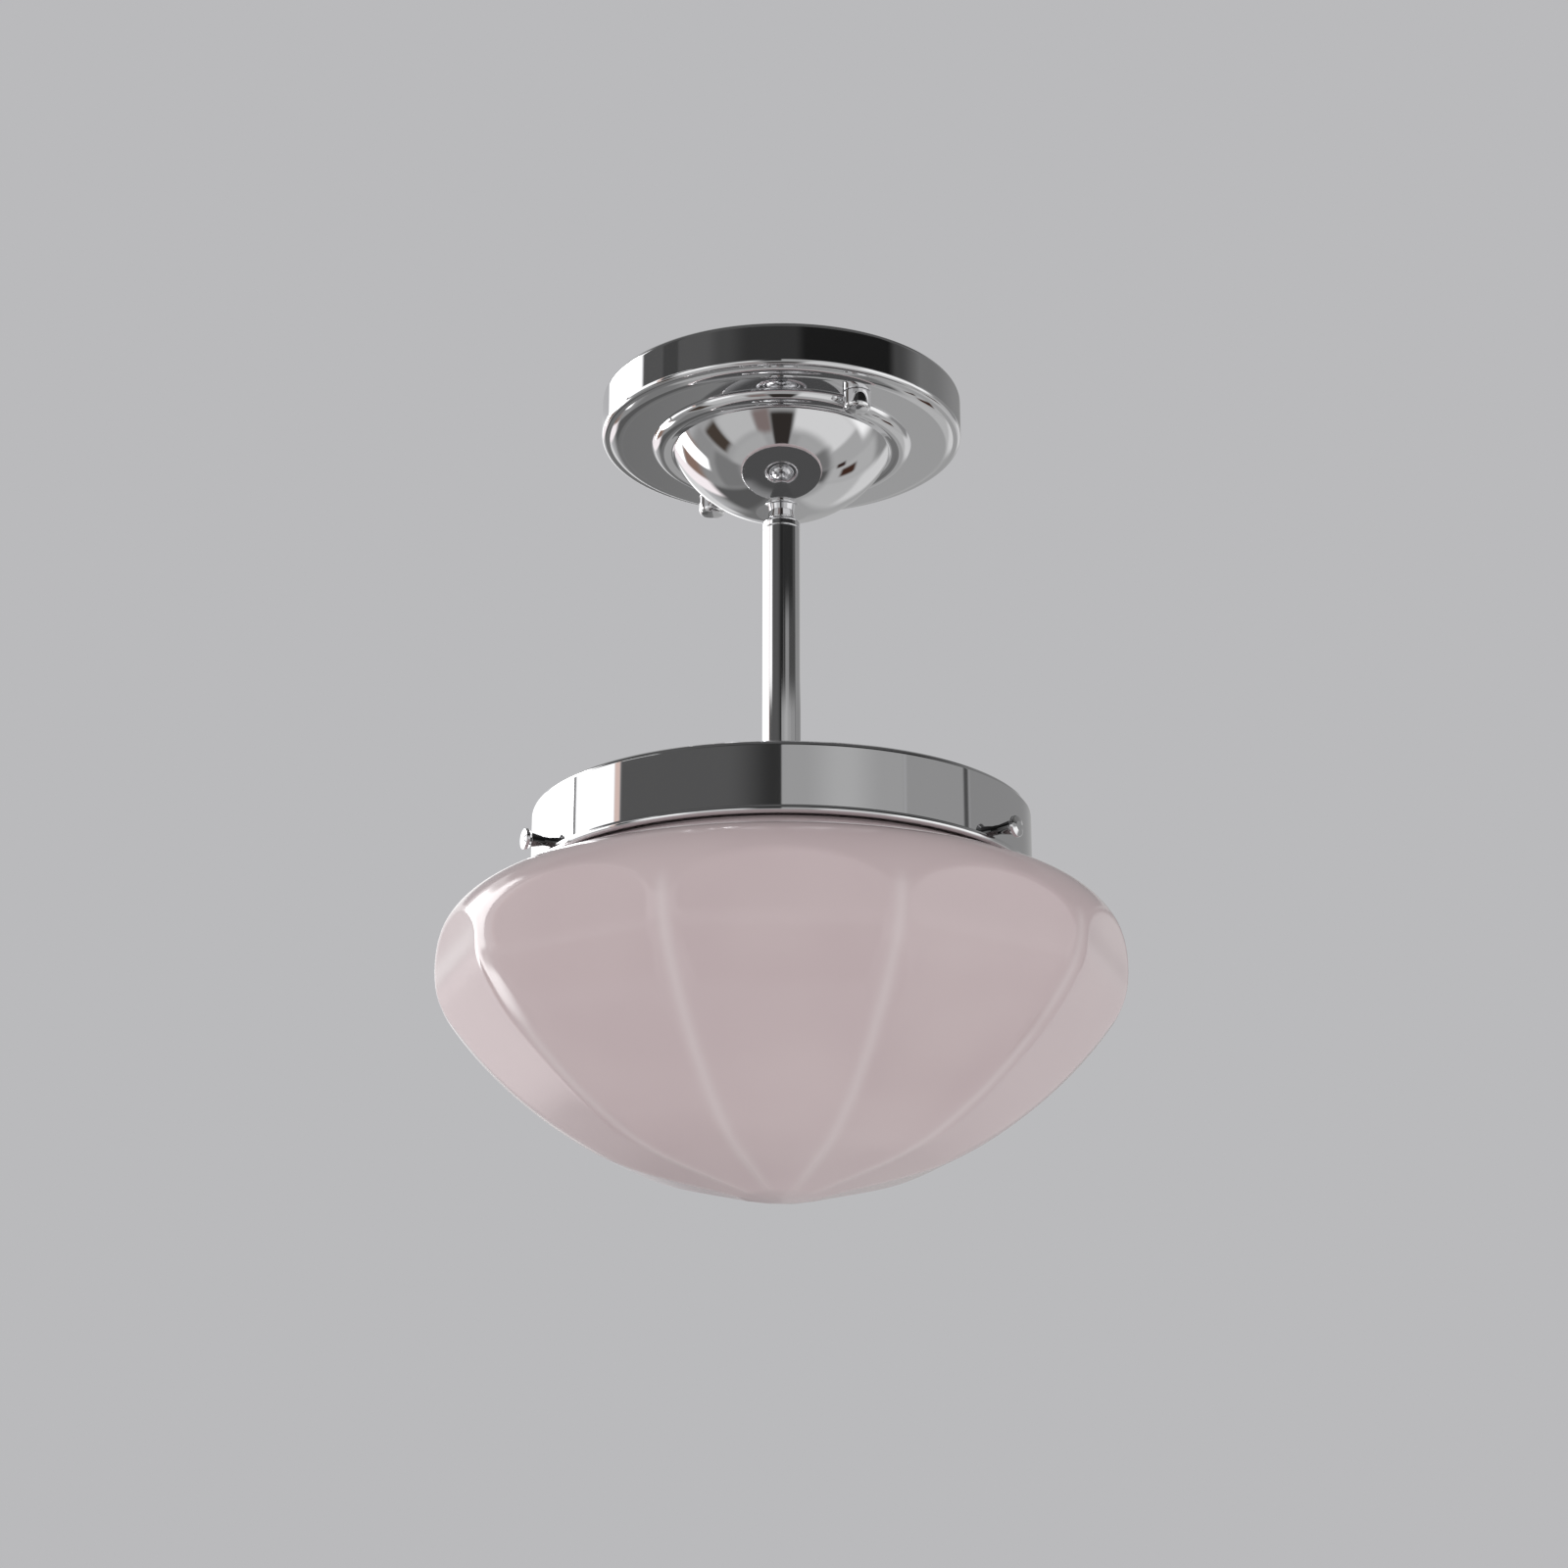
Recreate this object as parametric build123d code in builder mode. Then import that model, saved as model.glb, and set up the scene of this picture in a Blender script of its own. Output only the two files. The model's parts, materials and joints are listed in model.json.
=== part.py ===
from build123d import *
import os
from math import atan2, cos, degrees, hypot, radians, sin, sqrt, tan

os.makedirs("parts", exist_ok=True)

# Semi-flush ceiling light: a spun chrome canopy, a stem and a gallery that carries a faceted opal glass shade.
# Millimetres. The ceiling is the plane z = 0, the light hangs below it, and -Y is its front.

# Fits and clearances
press_gap = 0.02      # radial gap between pieces that are pressed or screwed together for good
thread_gap = 0.05     # radial gap of a thread that is turned by hand
hole_gap = 0.3        # radial gap of a clearance hole
seat_gap = 0.05       # gap under a nut or a screw that is drawn up tight
glass_gap = 0.3       # gap between the glass and the screws that carry it
wire_gap = 0.1        # gap between a wire and what clamps it

# Canopy, one piece of spun sheet
canopy_radius = 60.2
canopy_wall = 1.0
rim_depth = 15.0
rim_curl = 2.0
rim_curl_land = 0.6
rim_edge = 1.6
rim_land = 1.0
rim_step_width = 4.2
rim_step_drop = 1.5
rim_step_bulge = 0.5
flat_width = 9.9
shoulder_width = 5.4
shoulder_drop = 2.5
shoulder_bulge = 1.3
shoulder_land = 1.5
dome_height = 21.0
dome_flat = 8.6

# Ceiling bar with its studs and cap nuts
bar_turn = -60.0
bar_width = 18.0
bar_thickness = 2.0
bar_end_gap = 2.4
cable_hole_diameter = 12.0
ceiling_hole_spacing = 50.8
ceiling_hole_diameter = 4.6
ceiling_slot_length = 9.0
ceiling_slot_radius = 37.0
stud_diameter = 4.0
stud_reach = 4.6
stud_nut_flats = 7.0
stud_nut_height = 3.2
cap_nut_diameter = 9.0
cap_nut_side = 4.3
cap_nut_crown = 0.8
cap_nut_end_room = 0.6
cap_nut_edge = 1.6

# Terminal block on the bar's tab, and the earth screw
tab_width = 16.0
tab_corner = 3.0
block_length = 30.0
block_width = 17.0
block_height = 12.0
block_corner = 1.5
block_bar_gap = 6.5
pole_pitch = 9.0
pole_bore = 3.2
pole_depth = 5.0
pole_screw_diameter = 3.4
pole_screw_spread = 9.0
pole_screw_sink = 1.0
screw_slot_width = 0.7
screw_slot_depth = 1.0
block_screw_diameter = 3.0
block_screw_head = 5.5
block_screw_head_height = 2.2
block_screw_sink = 3.0
earth_screw_offset = 14.0
earth_screw_diameter = 4.0
earth_head_diameter = 8.0
earth_head_height = 2.4
earth_washer_diameter = 9.0
earth_washer_thickness = 0.8

# Stem with its two turned ends
neck_diameter = 9.0
neck_length = 3.5
stem_diameter = 12.5
stem_wall = 1.0
stem_drop = 103.9
stem_head_height = 3.0
plug_length = 12.0
wire_bore = 6.0
top_spigot_diameter = 8.0
top_spigot_end = 2.0
dome_washer_diameter = 15.0
dome_washer_thickness = 1.2
dome_nut_flats = 13.0
dome_nut_height = 4.0
bush_flange_diameter = 7.6
bush_flange_height = 1.2
bush_bore = 5.0
bush_length = 4.0
bottom_spigot_diameter = 10.0
gallery_washer_diameter = 22.0
gallery_washer_thickness = 1.2
gallery_nut_flats = 14.0
gallery_nut_height = 3.0

# Gallery that holds the glass, and its three thumb screws
gallery_radius = 80.0
gallery_wall = 1.0
gallery_height = 22.2
gallery_edge = 1.5
bead_radius = 1.0
bead_proud = 0.3
thumb_count = 3
thumb_start = -155.0
thumb_rise = 4.6
thumb_diameter = 3.0
thumb_tip_chamfer = 0.4
thumb_plain_length = 1.2
thumb_flare_length = 5.4
thumb_flare_diameter = 4.6
thumb_head_diameter = 6.7
thumb_head_thickness = 1.0
thumb_head_crown = 0.6
boss_diameter = 5.0
boss_depth = 2.7

# Glass shade: a lipped neck, a round shoulder and ten flats that meet at the tip
shade_radius = 109.5
shoulder_gap = 0.98     # between the glass shoulder and the gallery's bead
shoulder_arc = 22.8
cone_slope = 23.0
lower_arc = 27.7
flank_slope = 53.7
flank_arc = 140.0
tip_slope = 26.0
glass_wall = 3.0
neck_room = 7.7         # between the gallery's outside and the glass neck, where the thumb screws cross
neck_fillet = 1.9
lip_width = 3.2
lip_height = 6.7
flat_count = 10
flat_depth = 4.1
flat_rise = 9.9
flat_end_radius = 12.0
flat_cut_margin = 30.0  # how far the cutter of a flat reaches past the glass

# Lampholder
holder_cap_neck_diameter = 16.0
holder_cap_neck_length = 8.0
holder_cap_shoulder = 6.0
holder_cap_skirt = 3.0
holder_cap_wall = 2.0
holder_thread_length = 8.0
holder_diameter = 40.0
holder_length = 28.0
holder_upper_bore = 34.8
holder_lower_bore = 31.0
insert_thickness = 10.0
insert_recess_diameter = 6.4
insert_recess_depth = 2.0
shell_bore = 27.0
shell_wall = 1.0
shell_length = 17.0
shell_flange_bore = 12.0
contact_diameter = 8.0
contact_height = 1.8
contact_hole_diameter = 2.0

# Bulb
bulb_gap = 0.3
bulb_button_height = 1.3
bulb_insulator_height = 3.0
bulb_insulator_diameter = 20.0
bulb_cap_taper = 2.5
bulb_cap_length = 15.0
bulb_cap_wall = 0.6
bulb_collar_length = 25.0
bulb_collar_wall = 1.5
bulb_collar_end_diameter = 42.0
bulb_globe_diameter = 45.0
bulb_globe_wall = 1.2

# Wires
wire_diameter = 2.2
wire_spread = 1.3
wire_turn_drop = 14.0
wire_bend = 9.0
earth_bend = 4.0
wire_bar_gap = 1.0      # where a wire turns, from the edge of the bar

# Canopy radii and levels, from the rim to the bottom of the dome
curl_radius = canopy_radius - rim_curl
step_outer = canopy_radius - rim_edge - rim_land
flat_outer = step_outer - rim_step_width
flat_inner = flat_outer - flat_width
shoulder_inner = flat_inner - shoulder_width
dome_radius = shoulder_inner - shoulder_land
rim_level = -rim_depth
flat_level = rim_level - rim_step_drop
shoulder_level = flat_level - shoulder_drop
dome_level = shoulder_level - dome_height
top_hole_radius = top_spigot_diameter / 2 + thread_gap

# The dome is part of a sphere centred on the axis
dome_centre = (dome_flat**2 + dome_level**2 - dome_radius**2 - shoulder_level**2) / (2 * (dome_level - shoulder_level))
dome_sphere = hypot(dome_flat, dome_level - dome_centre)
dome_start = degrees(atan2(shoulder_level - dome_centre, dome_radius))
dome_end = degrees(atan2(dome_level - dome_centre, dome_flat))

# Stud places and the bar's own plane: X along the bar, Y along the tab
stud_circle = (flat_outer + flat_inner) / 2
bar_direction = Vector(1, 0, 0).rotate(Axis.Z, bar_turn)
tab_direction = bar_direction.rotate(Axis.Z, 90)
bar_plane = Plane(origin=(0, 0, 0), x_dir=bar_direction, z_dir=(0, 0, 1))
bar_half_length = canopy_radius - canopy_wall - bar_end_gap
block_centre = bar_width / 2 + block_bar_gap + block_width / 2
block_top = -bar_thickness
block_bottom = block_top - block_height
pole_level = block_top - pole_depth
block_screw_offset = pole_pitch / 2
tab_reach = block_centre + block_width / 2

# Stem levels
washer_top = dome_level + canopy_wall + dome_washer_thickness
dome_nut_top = washer_top + dome_nut_height
top_spigot_top = dome_nut_top + top_spigot_end
neck_bottom = dome_level - neck_length
head_bottom = neck_bottom - stem_head_height
gallery_top = neck_bottom - stem_drop
tube_bore_radius = stem_diameter / 2 - stem_wall
plug_radius = tube_bore_radius - press_gap

# Gallery levels and radii, with the glass neck that stands inside its wall
wall_inside = gallery_radius - gallery_wall
neck_radius = gallery_radius - neck_room
gallery_bottom = gallery_top - gallery_height
plate_bottom = gallery_top - gallery_wall
bead_centre_radius = gallery_radius + bead_proud - bead_radius
bead_level = gallery_bottom + bead_radius
gallery_washer_bottom = plate_bottom - gallery_washer_thickness
gallery_nut_bottom = gallery_washer_bottom - gallery_nut_height
thumb_level = gallery_bottom + thumb_rise
bottom_hole_radius = bottom_spigot_diameter / 2 + thread_gap

# Glass levels: the lip rests on the thumb screws, the shoulder starts just under the gallery
lip_bottom = thumb_level + thumb_diameter / 2 + glass_gap
lip_top = lip_bottom + lip_height
cone_normal = 90 - cone_slope
bead_reach = bead_centre_radius - (shade_radius - shoulder_arc)
shoulder_offset = shoulder_arc + bead_radius + shoulder_gap
equator = bead_level - (shoulder_offset - bead_reach * cos(radians(cone_normal))) / sin(radians(cone_normal))

# Lampholder levels
holder_top = gallery_nut_bottom
bottom_spigot_end = holder_top - holder_thread_length
holder_cap_bottom = holder_top - holder_cap_neck_length - holder_cap_shoulder - holder_cap_skirt
insert_bottom = holder_cap_bottom - insert_thickness
holder_bottom = holder_cap_bottom - holder_length
contact_bottom = insert_bottom - contact_height

# Bulb levels
bulb_top = contact_bottom - bulb_gap
bulb_button_bottom = bulb_top - bulb_button_height
bulb_cap_top = bulb_button_bottom - bulb_insulator_height
bulb_cap_radius = shell_bore / 2 - bulb_gap
bulb_cap_bottom = bulb_cap_top - bulb_cap_length
bulb_collar_bottom = bulb_cap_bottom - bulb_collar_length
bulb_globe_radius = bulb_globe_diameter / 2
bulb_collar_end_radius = bulb_collar_end_diameter / 2
bulb_globe_centre = bulb_collar_bottom - sqrt(bulb_globe_radius**2 - bulb_collar_end_radius**2)

# Wire levels
earth_wire_level = -bar_thickness - earth_washer_thickness - wire_gap - wire_diameter / 2
earth_head_top = earth_wire_level - wire_diameter / 2 - wire_gap
pole_screw_top = pole_level - wire_diameter / 2 - wire_gap

pieces = {}


def ring(outer_radius, inner_radius, top, bottom):
    """Plain ring about the light's axis."""
    with BuildPart() as body:
        with BuildSketch(Plane.XY.offset(bottom)):
            Circle(outer_radius)
            Circle(inner_radius, mode=Mode.SUBTRACT)
        extrude(amount=top - bottom)
    return body


def hexagon_nut(flats, bore_radius, top, height, places):
    """Hexagon nuts of one size, one at each of the given places."""
    with BuildPart() as body:
        with BuildSketch(Plane.XY.offset(top - height)):
            with Locations(*places):
                RegularPolygon(flats / 2, 6, major_radius=False)
                Circle(bore_radius, mode=Mode.SUBTRACT)
        extrude(amount=height)
    return body


def on_bar(along, across):
    """Place on the ceiling plane, from the distances along the bar and along its tab."""
    return bar_direction * along + tab_direction * across


# Ceiling bar: a round-ended strap with a tab for the terminal block
with BuildPart() as mounting_bar:
    with BuildSketch(bar_plane.offset(-bar_thickness)):
        SlotOverall(2 * bar_half_length, bar_width)
        with Locations((0, tab_reach / 2)):
            RectangleRounded(tab_width, tab_reach, tab_corner)
        Circle(cable_hole_diameter / 2, mode=Mode.SUBTRACT)
        with GridLocations(ceiling_hole_spacing, 0, 2, 1):
            Circle(ceiling_hole_diameter / 2, mode=Mode.SUBTRACT)
        with GridLocations(2 * ceiling_slot_radius, 0, 2, 1):
            SlotOverall(ceiling_slot_length, ceiling_hole_diameter, mode=Mode.SUBTRACT)
        with GridLocations(2 * stud_circle, 0, 2, 1):
            Circle(stud_diameter / 2 + press_gap, mode=Mode.SUBTRACT)
        with Locations((-earth_screw_offset, 0)):
            Circle(earth_screw_diameter / 2 + press_gap, mode=Mode.SUBTRACT)
        with Locations((block_screw_offset, block_centre)):
            Circle(block_screw_diameter / 2 + press_gap, mode=Mode.SUBTRACT)
    extrude(amount=bar_thickness)
pieces["mounting_bar"] = mounting_bar

# Two studs that hang from the bar, and the nuts that lock them
stud_bottom = flat_level - stud_reach
with BuildPart() as bar_studs:
    with BuildSketch(bar_plane.offset(stud_bottom)):
        with GridLocations(2 * stud_circle, 0, 2, 1):
            Circle(stud_diameter / 2)
    extrude(amount=-stud_bottom)
pieces["bar_studs"] = bar_studs

stud_places = [on_bar(stud_circle, 0), on_bar(-stud_circle, 0)]
stud_flat_places = [(place.X, place.Y) for place in stud_places]
stud_nuts = hexagon_nut(
    stud_nut_flats, stud_diameter / 2 + press_gap, -bar_thickness, stud_nut_height, stud_flat_places
)
pieces["stud_nuts"] = stud_nuts

# Canopy: curled rim, rounded step, flat, rounded shoulder and dome from one profile of even wall
with BuildPart() as canopy:
    with BuildSketch(Plane.XZ):
        with BuildLine():
            Line((curl_radius - rim_curl_land, 0), (curl_radius, 0))
            CenterArc((curl_radius, -rim_curl), rim_curl, 90, -90)
            Line((canopy_radius, -rim_curl), (canopy_radius, rim_level + rim_edge))
            CenterArc((canopy_radius - rim_edge, rim_level + rim_edge), rim_edge, 0, -90)
            Line((canopy_radius - rim_edge, rim_level), (step_outer, rim_level))
            SagittaArc((step_outer, rim_level), (flat_outer, flat_level), rim_step_bulge)
            Line((flat_outer, flat_level), (flat_inner, flat_level))
            SagittaArc((flat_inner, flat_level), (shoulder_inner, shoulder_level), shoulder_bulge)
            Line((shoulder_inner, shoulder_level), (dome_radius, shoulder_level))
            CenterArc((0, dome_centre), dome_sphere, dome_start, dome_end - dome_start)
            Line((dome_flat, dome_level), (top_hole_radius, dome_level))
            offset(amount=canopy_wall, side=Side.RIGHT)
        make_face()
    revolve(axis=Axis.Z)
    with Locations(*stud_flat_places):
        Hole(stud_diameter / 2 + hole_gap)
pieces["canopy"] = canopy


def crown_arc(half_width, height):
    """Radius and start angle of a shallow crown that is centred on the axis it is turned about."""
    radius = (half_width**2 + height**2) / (2 * height)
    return radius, -degrees(atan2(radius - height, half_width))


def cap_nut(place):
    """Domed cap nut on a stud, open at the top."""
    axis_plane = Plane(origin=(place.X, place.Y, 0), x_dir=(1, 0, 0), z_dir=(0, -1, 0))
    radius = cap_nut_diameter / 2
    top = flat_level - seat_gap
    side_bottom = top - cap_nut_side
    end_radius = radius - cap_nut_edge
    crown_bottom = side_bottom - cap_nut_edge - cap_nut_crown
    crown, crown_start = crown_arc(end_radius, cap_nut_crown)
    with BuildPart() as body:
        with BuildSketch(axis_plane):
            with BuildLine():
                Polyline((0, crown_bottom), (0, top), (radius, top), (radius, side_bottom))
                CenterArc((end_radius, side_bottom), cap_nut_edge, 0, -90)
                CenterArc((0, crown_bottom + crown), crown, crown_start, -90 - crown_start)
            make_face()
        revolve(axis=Axis((place.X, place.Y, 0), (0, 0, 1)))
        bore_end = stud_bottom - cap_nut_end_room
        with BuildSketch(Plane.XY.offset(bore_end)):
            with Locations((place.X, place.Y)):
                Circle(stud_diameter / 2 + thread_gap)
        extrude(amount=top - bore_end, mode=Mode.SUBTRACT)
    return body


pieces["cap_nut_front"] = cap_nut(stud_places[0])
pieces["cap_nut_rear"] = cap_nut(stud_places[1])

# Terminal block: three through poles with a screw well at each end, screwed to the tab
pole_offsets = [-pole_pitch, 0, pole_pitch]
pole_screw_places = [
    (along, block_centre + side * pole_screw_spread / 2) for along in pole_offsets for side in (-1, 1)
]
pole_plane = Plane(
    origin=on_bar(0, block_centre) + Vector(0, 0, pole_level), x_dir=bar_direction, z_dir=tab_direction
)
with BuildPart() as terminal_block:
    with BuildSketch(bar_plane.offset(block_bottom)):
        with Locations((0, block_centre)):
            RectangleRounded(block_length, block_width, block_corner)
    extrude(amount=block_height)
    with BuildSketch(pole_plane):
        with GridLocations(pole_pitch, 0, 3, 1):
            Circle(pole_bore / 2)
    extrude(amount=block_width, both=True, mode=Mode.SUBTRACT)
    with BuildSketch(bar_plane.offset(block_bottom)):
        with Locations(*pole_screw_places):
            Circle(pole_screw_diameter / 2 + press_gap)
    extrude(amount=pole_level - block_bottom, mode=Mode.SUBTRACT)
    with BuildSketch(bar_plane.offset(block_bottom)):
        with Locations((block_screw_offset, block_centre)):
            Circle(block_screw_diameter / 2 + press_gap)
    extrude(amount=block_height, mode=Mode.SUBTRACT)
    with BuildSketch(bar_plane.offset(block_bottom)):
        with Locations((block_screw_offset, block_centre)):
            Circle(block_screw_head / 2 + press_gap)
    extrude(amount=block_screw_sink, mode=Mode.SUBTRACT)
pieces["terminal_block"] = terminal_block

pole_screw_bottom = block_bottom + pole_screw_sink
with BuildPart() as terminal_screws:
    with BuildSketch(bar_plane.offset(pole_screw_bottom)):
        with Locations(*pole_screw_places):
            Circle(pole_screw_diameter / 2)
    extrude(amount=pole_screw_top - pole_screw_bottom)
    with BuildSketch(bar_plane.offset(pole_screw_bottom)):
        with Locations(*pole_screw_places):
            Rectangle(pole_screw_diameter, screw_slot_width)
    extrude(amount=screw_slot_depth, mode=Mode.SUBTRACT)
pieces["terminal_screws"] = terminal_screws

block_head_top = block_bottom + block_screw_sink
with BuildPart() as block_screw:
    with BuildSketch(bar_plane.offset(block_head_top)):
        with Locations((block_screw_offset, block_centre)):
            Circle(block_screw_diameter / 2)
    extrude(amount=-block_head_top)
    with BuildSketch(bar_plane.offset(block_head_top - block_screw_head_height)):
        with Locations((block_screw_offset, block_centre)):
            Circle(block_screw_head / 2)
    extrude(amount=block_screw_head_height)
    with BuildSketch(bar_plane.offset(block_head_top - block_screw_head_height)):
        with Locations((block_screw_offset, block_centre)):
            Rectangle(block_screw_head, screw_slot_width)
    extrude(amount=screw_slot_depth, mode=Mode.SUBTRACT)
pieces["block_screw"] = block_screw

# Earth screw under the bar, with the washer that its wire is clamped against
with BuildPart() as earth_screw:
    with BuildSketch(bar_plane.offset(earth_head_top)):
        with Locations((-earth_screw_offset, 0)):
            Circle(earth_screw_diameter / 2)
    extrude(amount=-earth_head_top)
    with BuildSketch(bar_plane.offset(earth_head_top - earth_head_height)):
        with Locations((-earth_screw_offset, 0)):
            Circle(earth_head_diameter / 2)
    extrude(amount=earth_head_height)
    with BuildSketch(bar_plane.offset(earth_head_top - earth_head_height)):
        with Locations((-earth_screw_offset, 0)):
            Rectangle(earth_head_diameter, screw_slot_width)
    extrude(amount=screw_slot_depth, mode=Mode.SUBTRACT)
pieces["earth_screw"] = earth_screw

with BuildPart() as earth_washer:
    with BuildSketch(bar_plane.offset(-bar_thickness - earth_washer_thickness)):
        with Locations((-earth_screw_offset, 0)):
            Circle(earth_washer_diameter / 2)
            Circle(earth_screw_diameter / 2 + thread_gap, mode=Mode.SUBTRACT)
    extrude(amount=earth_washer_thickness)
pieces["earth_washer"] = earth_washer

# Top end of the stem: a threaded spigot through the dome, a slim neck and a rounded head
with BuildPart() as stem_top_end:
    with BuildSketch(Plane.XZ):
        with BuildLine():
            Polyline(
                (stem_diameter / 2, neck_bottom - (stem_diameter - neck_diameter) / 2),
                (stem_diameter / 2, head_bottom),
                (plug_radius, head_bottom),
                (plug_radius, head_bottom - plug_length),
                (wire_bore / 2, head_bottom - plug_length),
                (wire_bore / 2, top_spigot_top),
                (top_spigot_diameter / 2, top_spigot_top),
                (top_spigot_diameter / 2, dome_level),
                (neck_diameter / 2, dome_level),
                (neck_diameter / 2, neck_bottom),
            )
            CenterArc(
                (neck_diameter / 2, neck_bottom - (stem_diameter - neck_diameter) / 2),
                (stem_diameter - neck_diameter) / 2,
                90,
                -90,
            )
        make_face()
    revolve(axis=Axis.Z)
pieces["stem_top_end"] = stem_top_end

# Washer and nut inside the dome, and the bush that keeps the wires off the spigot's edge
pieces["dome_washer"] = ring(
    dome_washer_diameter / 2, top_hole_radius, washer_top, washer_top - dome_washer_thickness
)
pieces["dome_nut"] = hexagon_nut(
    dome_nut_flats, top_spigot_diameter / 2 + press_gap, dome_nut_top, dome_nut_height, [(0, 0)]
)
with BuildPart() as wire_bush:
    with BuildSketch(Plane.XY.offset(top_spigot_top)):
        Circle(bush_flange_diameter / 2)
    extrude(amount=bush_flange_height)
    with BuildSketch(Plane.XY.offset(top_spigot_top)):
        Circle(wire_bore / 2 - press_gap)
    extrude(amount=-bush_length)
    with BuildSketch(Plane.XY.offset(top_spigot_top - bush_length)):
        Circle(bush_bore / 2)
    extrude(amount=bush_length + bush_flange_height, mode=Mode.SUBTRACT)
pieces["wire_bush"] = wire_bush

# Stem tube, from the head of its top end down to the gallery
pieces["stem"] = ring(stem_diameter / 2, tube_bore_radius, head_bottom, gallery_top)

# Bottom end of the stem: a plug in the tube and a threaded spigot through the gallery
with BuildPart() as stem_bottom_end:
    with BuildSketch(Plane.XY.offset(gallery_top)):
        Circle(plug_radius)
    extrude(amount=plug_length)
    with BuildSketch(Plane.XY.offset(bottom_spigot_end)):
        Circle(bottom_spigot_diameter / 2)
    extrude(amount=gallery_top - bottom_spigot_end)
    with BuildSketch(Plane.XY.offset(bottom_spigot_end)):
        Circle(wire_bore / 2)
    extrude(amount=gallery_top + plug_length - bottom_spigot_end, mode=Mode.SUBTRACT)
pieces["stem_bottom_end"] = stem_bottom_end

# Gallery: a flat plate, a round wall and a rolled bead at its lower edge
thumb_angles = [thumb_start + 360 / thumb_count * step for step in range(thumb_count)]


def radial_plane(angle):
    """Plane through the light's axis at the screws' level: X points outwards, Y up."""
    outwards = Vector(1, 0, 0).rotate(Axis.Z, angle)
    return Plane(origin=(0, 0, thumb_level), x_dir=outwards, z_dir=outwards.rotate(Axis.Z, -90))


with BuildPart() as gallery:
    with BuildSketch(Plane.XZ):
        with BuildLine():
            Line((bottom_hole_radius, gallery_top), (gallery_radius - gallery_edge, gallery_top))
            CenterArc((gallery_radius - gallery_edge, gallery_top - gallery_edge), gallery_edge, 90, -90)
            Line((gallery_radius, gallery_top - gallery_edge), (gallery_radius, bead_level))
            offset(amount=gallery_wall, side=Side.RIGHT)
        make_face()
        with Locations((bead_centre_radius, bead_level)):
            Circle(bead_radius)
    revolve(axis=Axis.Z)
    for angle in thumb_angles:
        plane = radial_plane(angle)
        outwards = plane.x_dir
        with BuildSketch(Plane(plane.origin, x_dir=(0, 0, 1), z_dir=outwards)):
            Circle(thumb_diameter / 2 + thread_gap)
        extrude(amount=gallery_radius + bead_proud, mode=Mode.SUBTRACT)
pieces["gallery"] = gallery

pieces["gallery_washer"] = ring(
    gallery_washer_diameter / 2, bottom_hole_radius, plate_bottom, gallery_washer_bottom
)
pieces["gallery_nut"] = hexagon_nut(
    gallery_nut_flats,
    bottom_spigot_diameter / 2 + press_gap,
    gallery_washer_bottom,
    gallery_nut_height,
    [(0, 0)],
)

# Threaded bosses inside the gallery wall, one for each thumb screw
boss_outer_end = sqrt(wall_inside**2 - (boss_diameter / 2) ** 2)
with BuildPart() as screw_bosses:
    for angle in thumb_angles:
        outwards = radial_plane(angle).x_dir
        start = Vector(0, 0, thumb_level) + outwards * (boss_outer_end - boss_depth)
        with BuildSketch(Plane(start, x_dir=(0, 0, 1), z_dir=outwards)):
            Circle(boss_diameter / 2)
            Circle(thumb_diameter / 2 + thread_gap, mode=Mode.SUBTRACT)
        extrude(amount=boss_depth)
pieces["screw_bosses"] = screw_bosses


def thumb_screw(angle):
    """Thumb screw with a trumpet head; its tip stands just off the glass neck."""
    plane = radial_plane(angle)
    shank = thumb_diameter / 2
    head = thumb_head_diameter / 2
    tip = neck_radius + glass_gap
    flare_start = gallery_radius + thumb_plain_length
    flare_end = flare_start + thumb_flare_length
    head_end = flare_end + thumb_head_thickness
    flare = thumb_flare_diameter / 2
    crown, crown_start = crown_arc(head, thumb_head_crown)
    with BuildPart() as body:
        with BuildSketch(plane):
            with BuildLine():
                Polyline(
                    (head_end + thumb_head_crown, 0),
                    (tip, 0),
                    (tip, shank - thumb_tip_chamfer),
                    (tip + thumb_tip_chamfer, shank),
                    (flare_start, shank),
                )
                Line((flare_start, shank), (flare_end - (head - flare), flare))
                CenterArc((flare_end - (head - flare), head), head - flare, -90, 90)
                Line((flare_end, head), (head_end, head))
                CenterArc(
                    (head_end + thumb_head_crown - crown, 0), crown, crown_start + 90, -90 - crown_start
                )
            make_face()
        revolve(axis=Axis(plane.origin, plane.x_dir))
    return body


thumb_names = ["shade_screw_left", "shade_screw_right", "shade_screw_rear"]
for name, angle in zip(thumb_names, thumb_angles):
    pieces[name] = thumb_screw(angle)

# Outline of the glass as tangent arcs; each angle is that of the outward normal below the equator
lower_normal = flank_slope - 90
tip_normal = tip_slope - 90


def normal(angle):
    """Unit vector in the profile plane at an angle from the horizontal."""
    return Vector(cos(radians(angle)), sin(radians(angle)))


shoulder_centre = Vector(shade_radius - shoulder_arc, equator)
lower_centre = Vector(shade_radius - lower_arc, equator)
flank_centre = lower_centre + normal(lower_normal) * (lower_arc - flank_arc)
tip_arc = flank_arc + flank_centre.X / cos(radians(tip_normal))
tip_centre = flank_centre + normal(tip_normal) * (flank_arc - tip_arc)


def outline_point(angle):
    """Point of the outer glass outline whose outward normal has this angle."""
    if angle >= 0:
        return shoulder_centre + normal(angle) * shoulder_arc
    if angle >= lower_normal:
        return lower_centre + normal(angle) * lower_arc
    if angle >= tip_normal:
        return flank_centre + normal(angle) * flank_arc
    return tip_centre + normal(angle) * tip_arc


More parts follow.
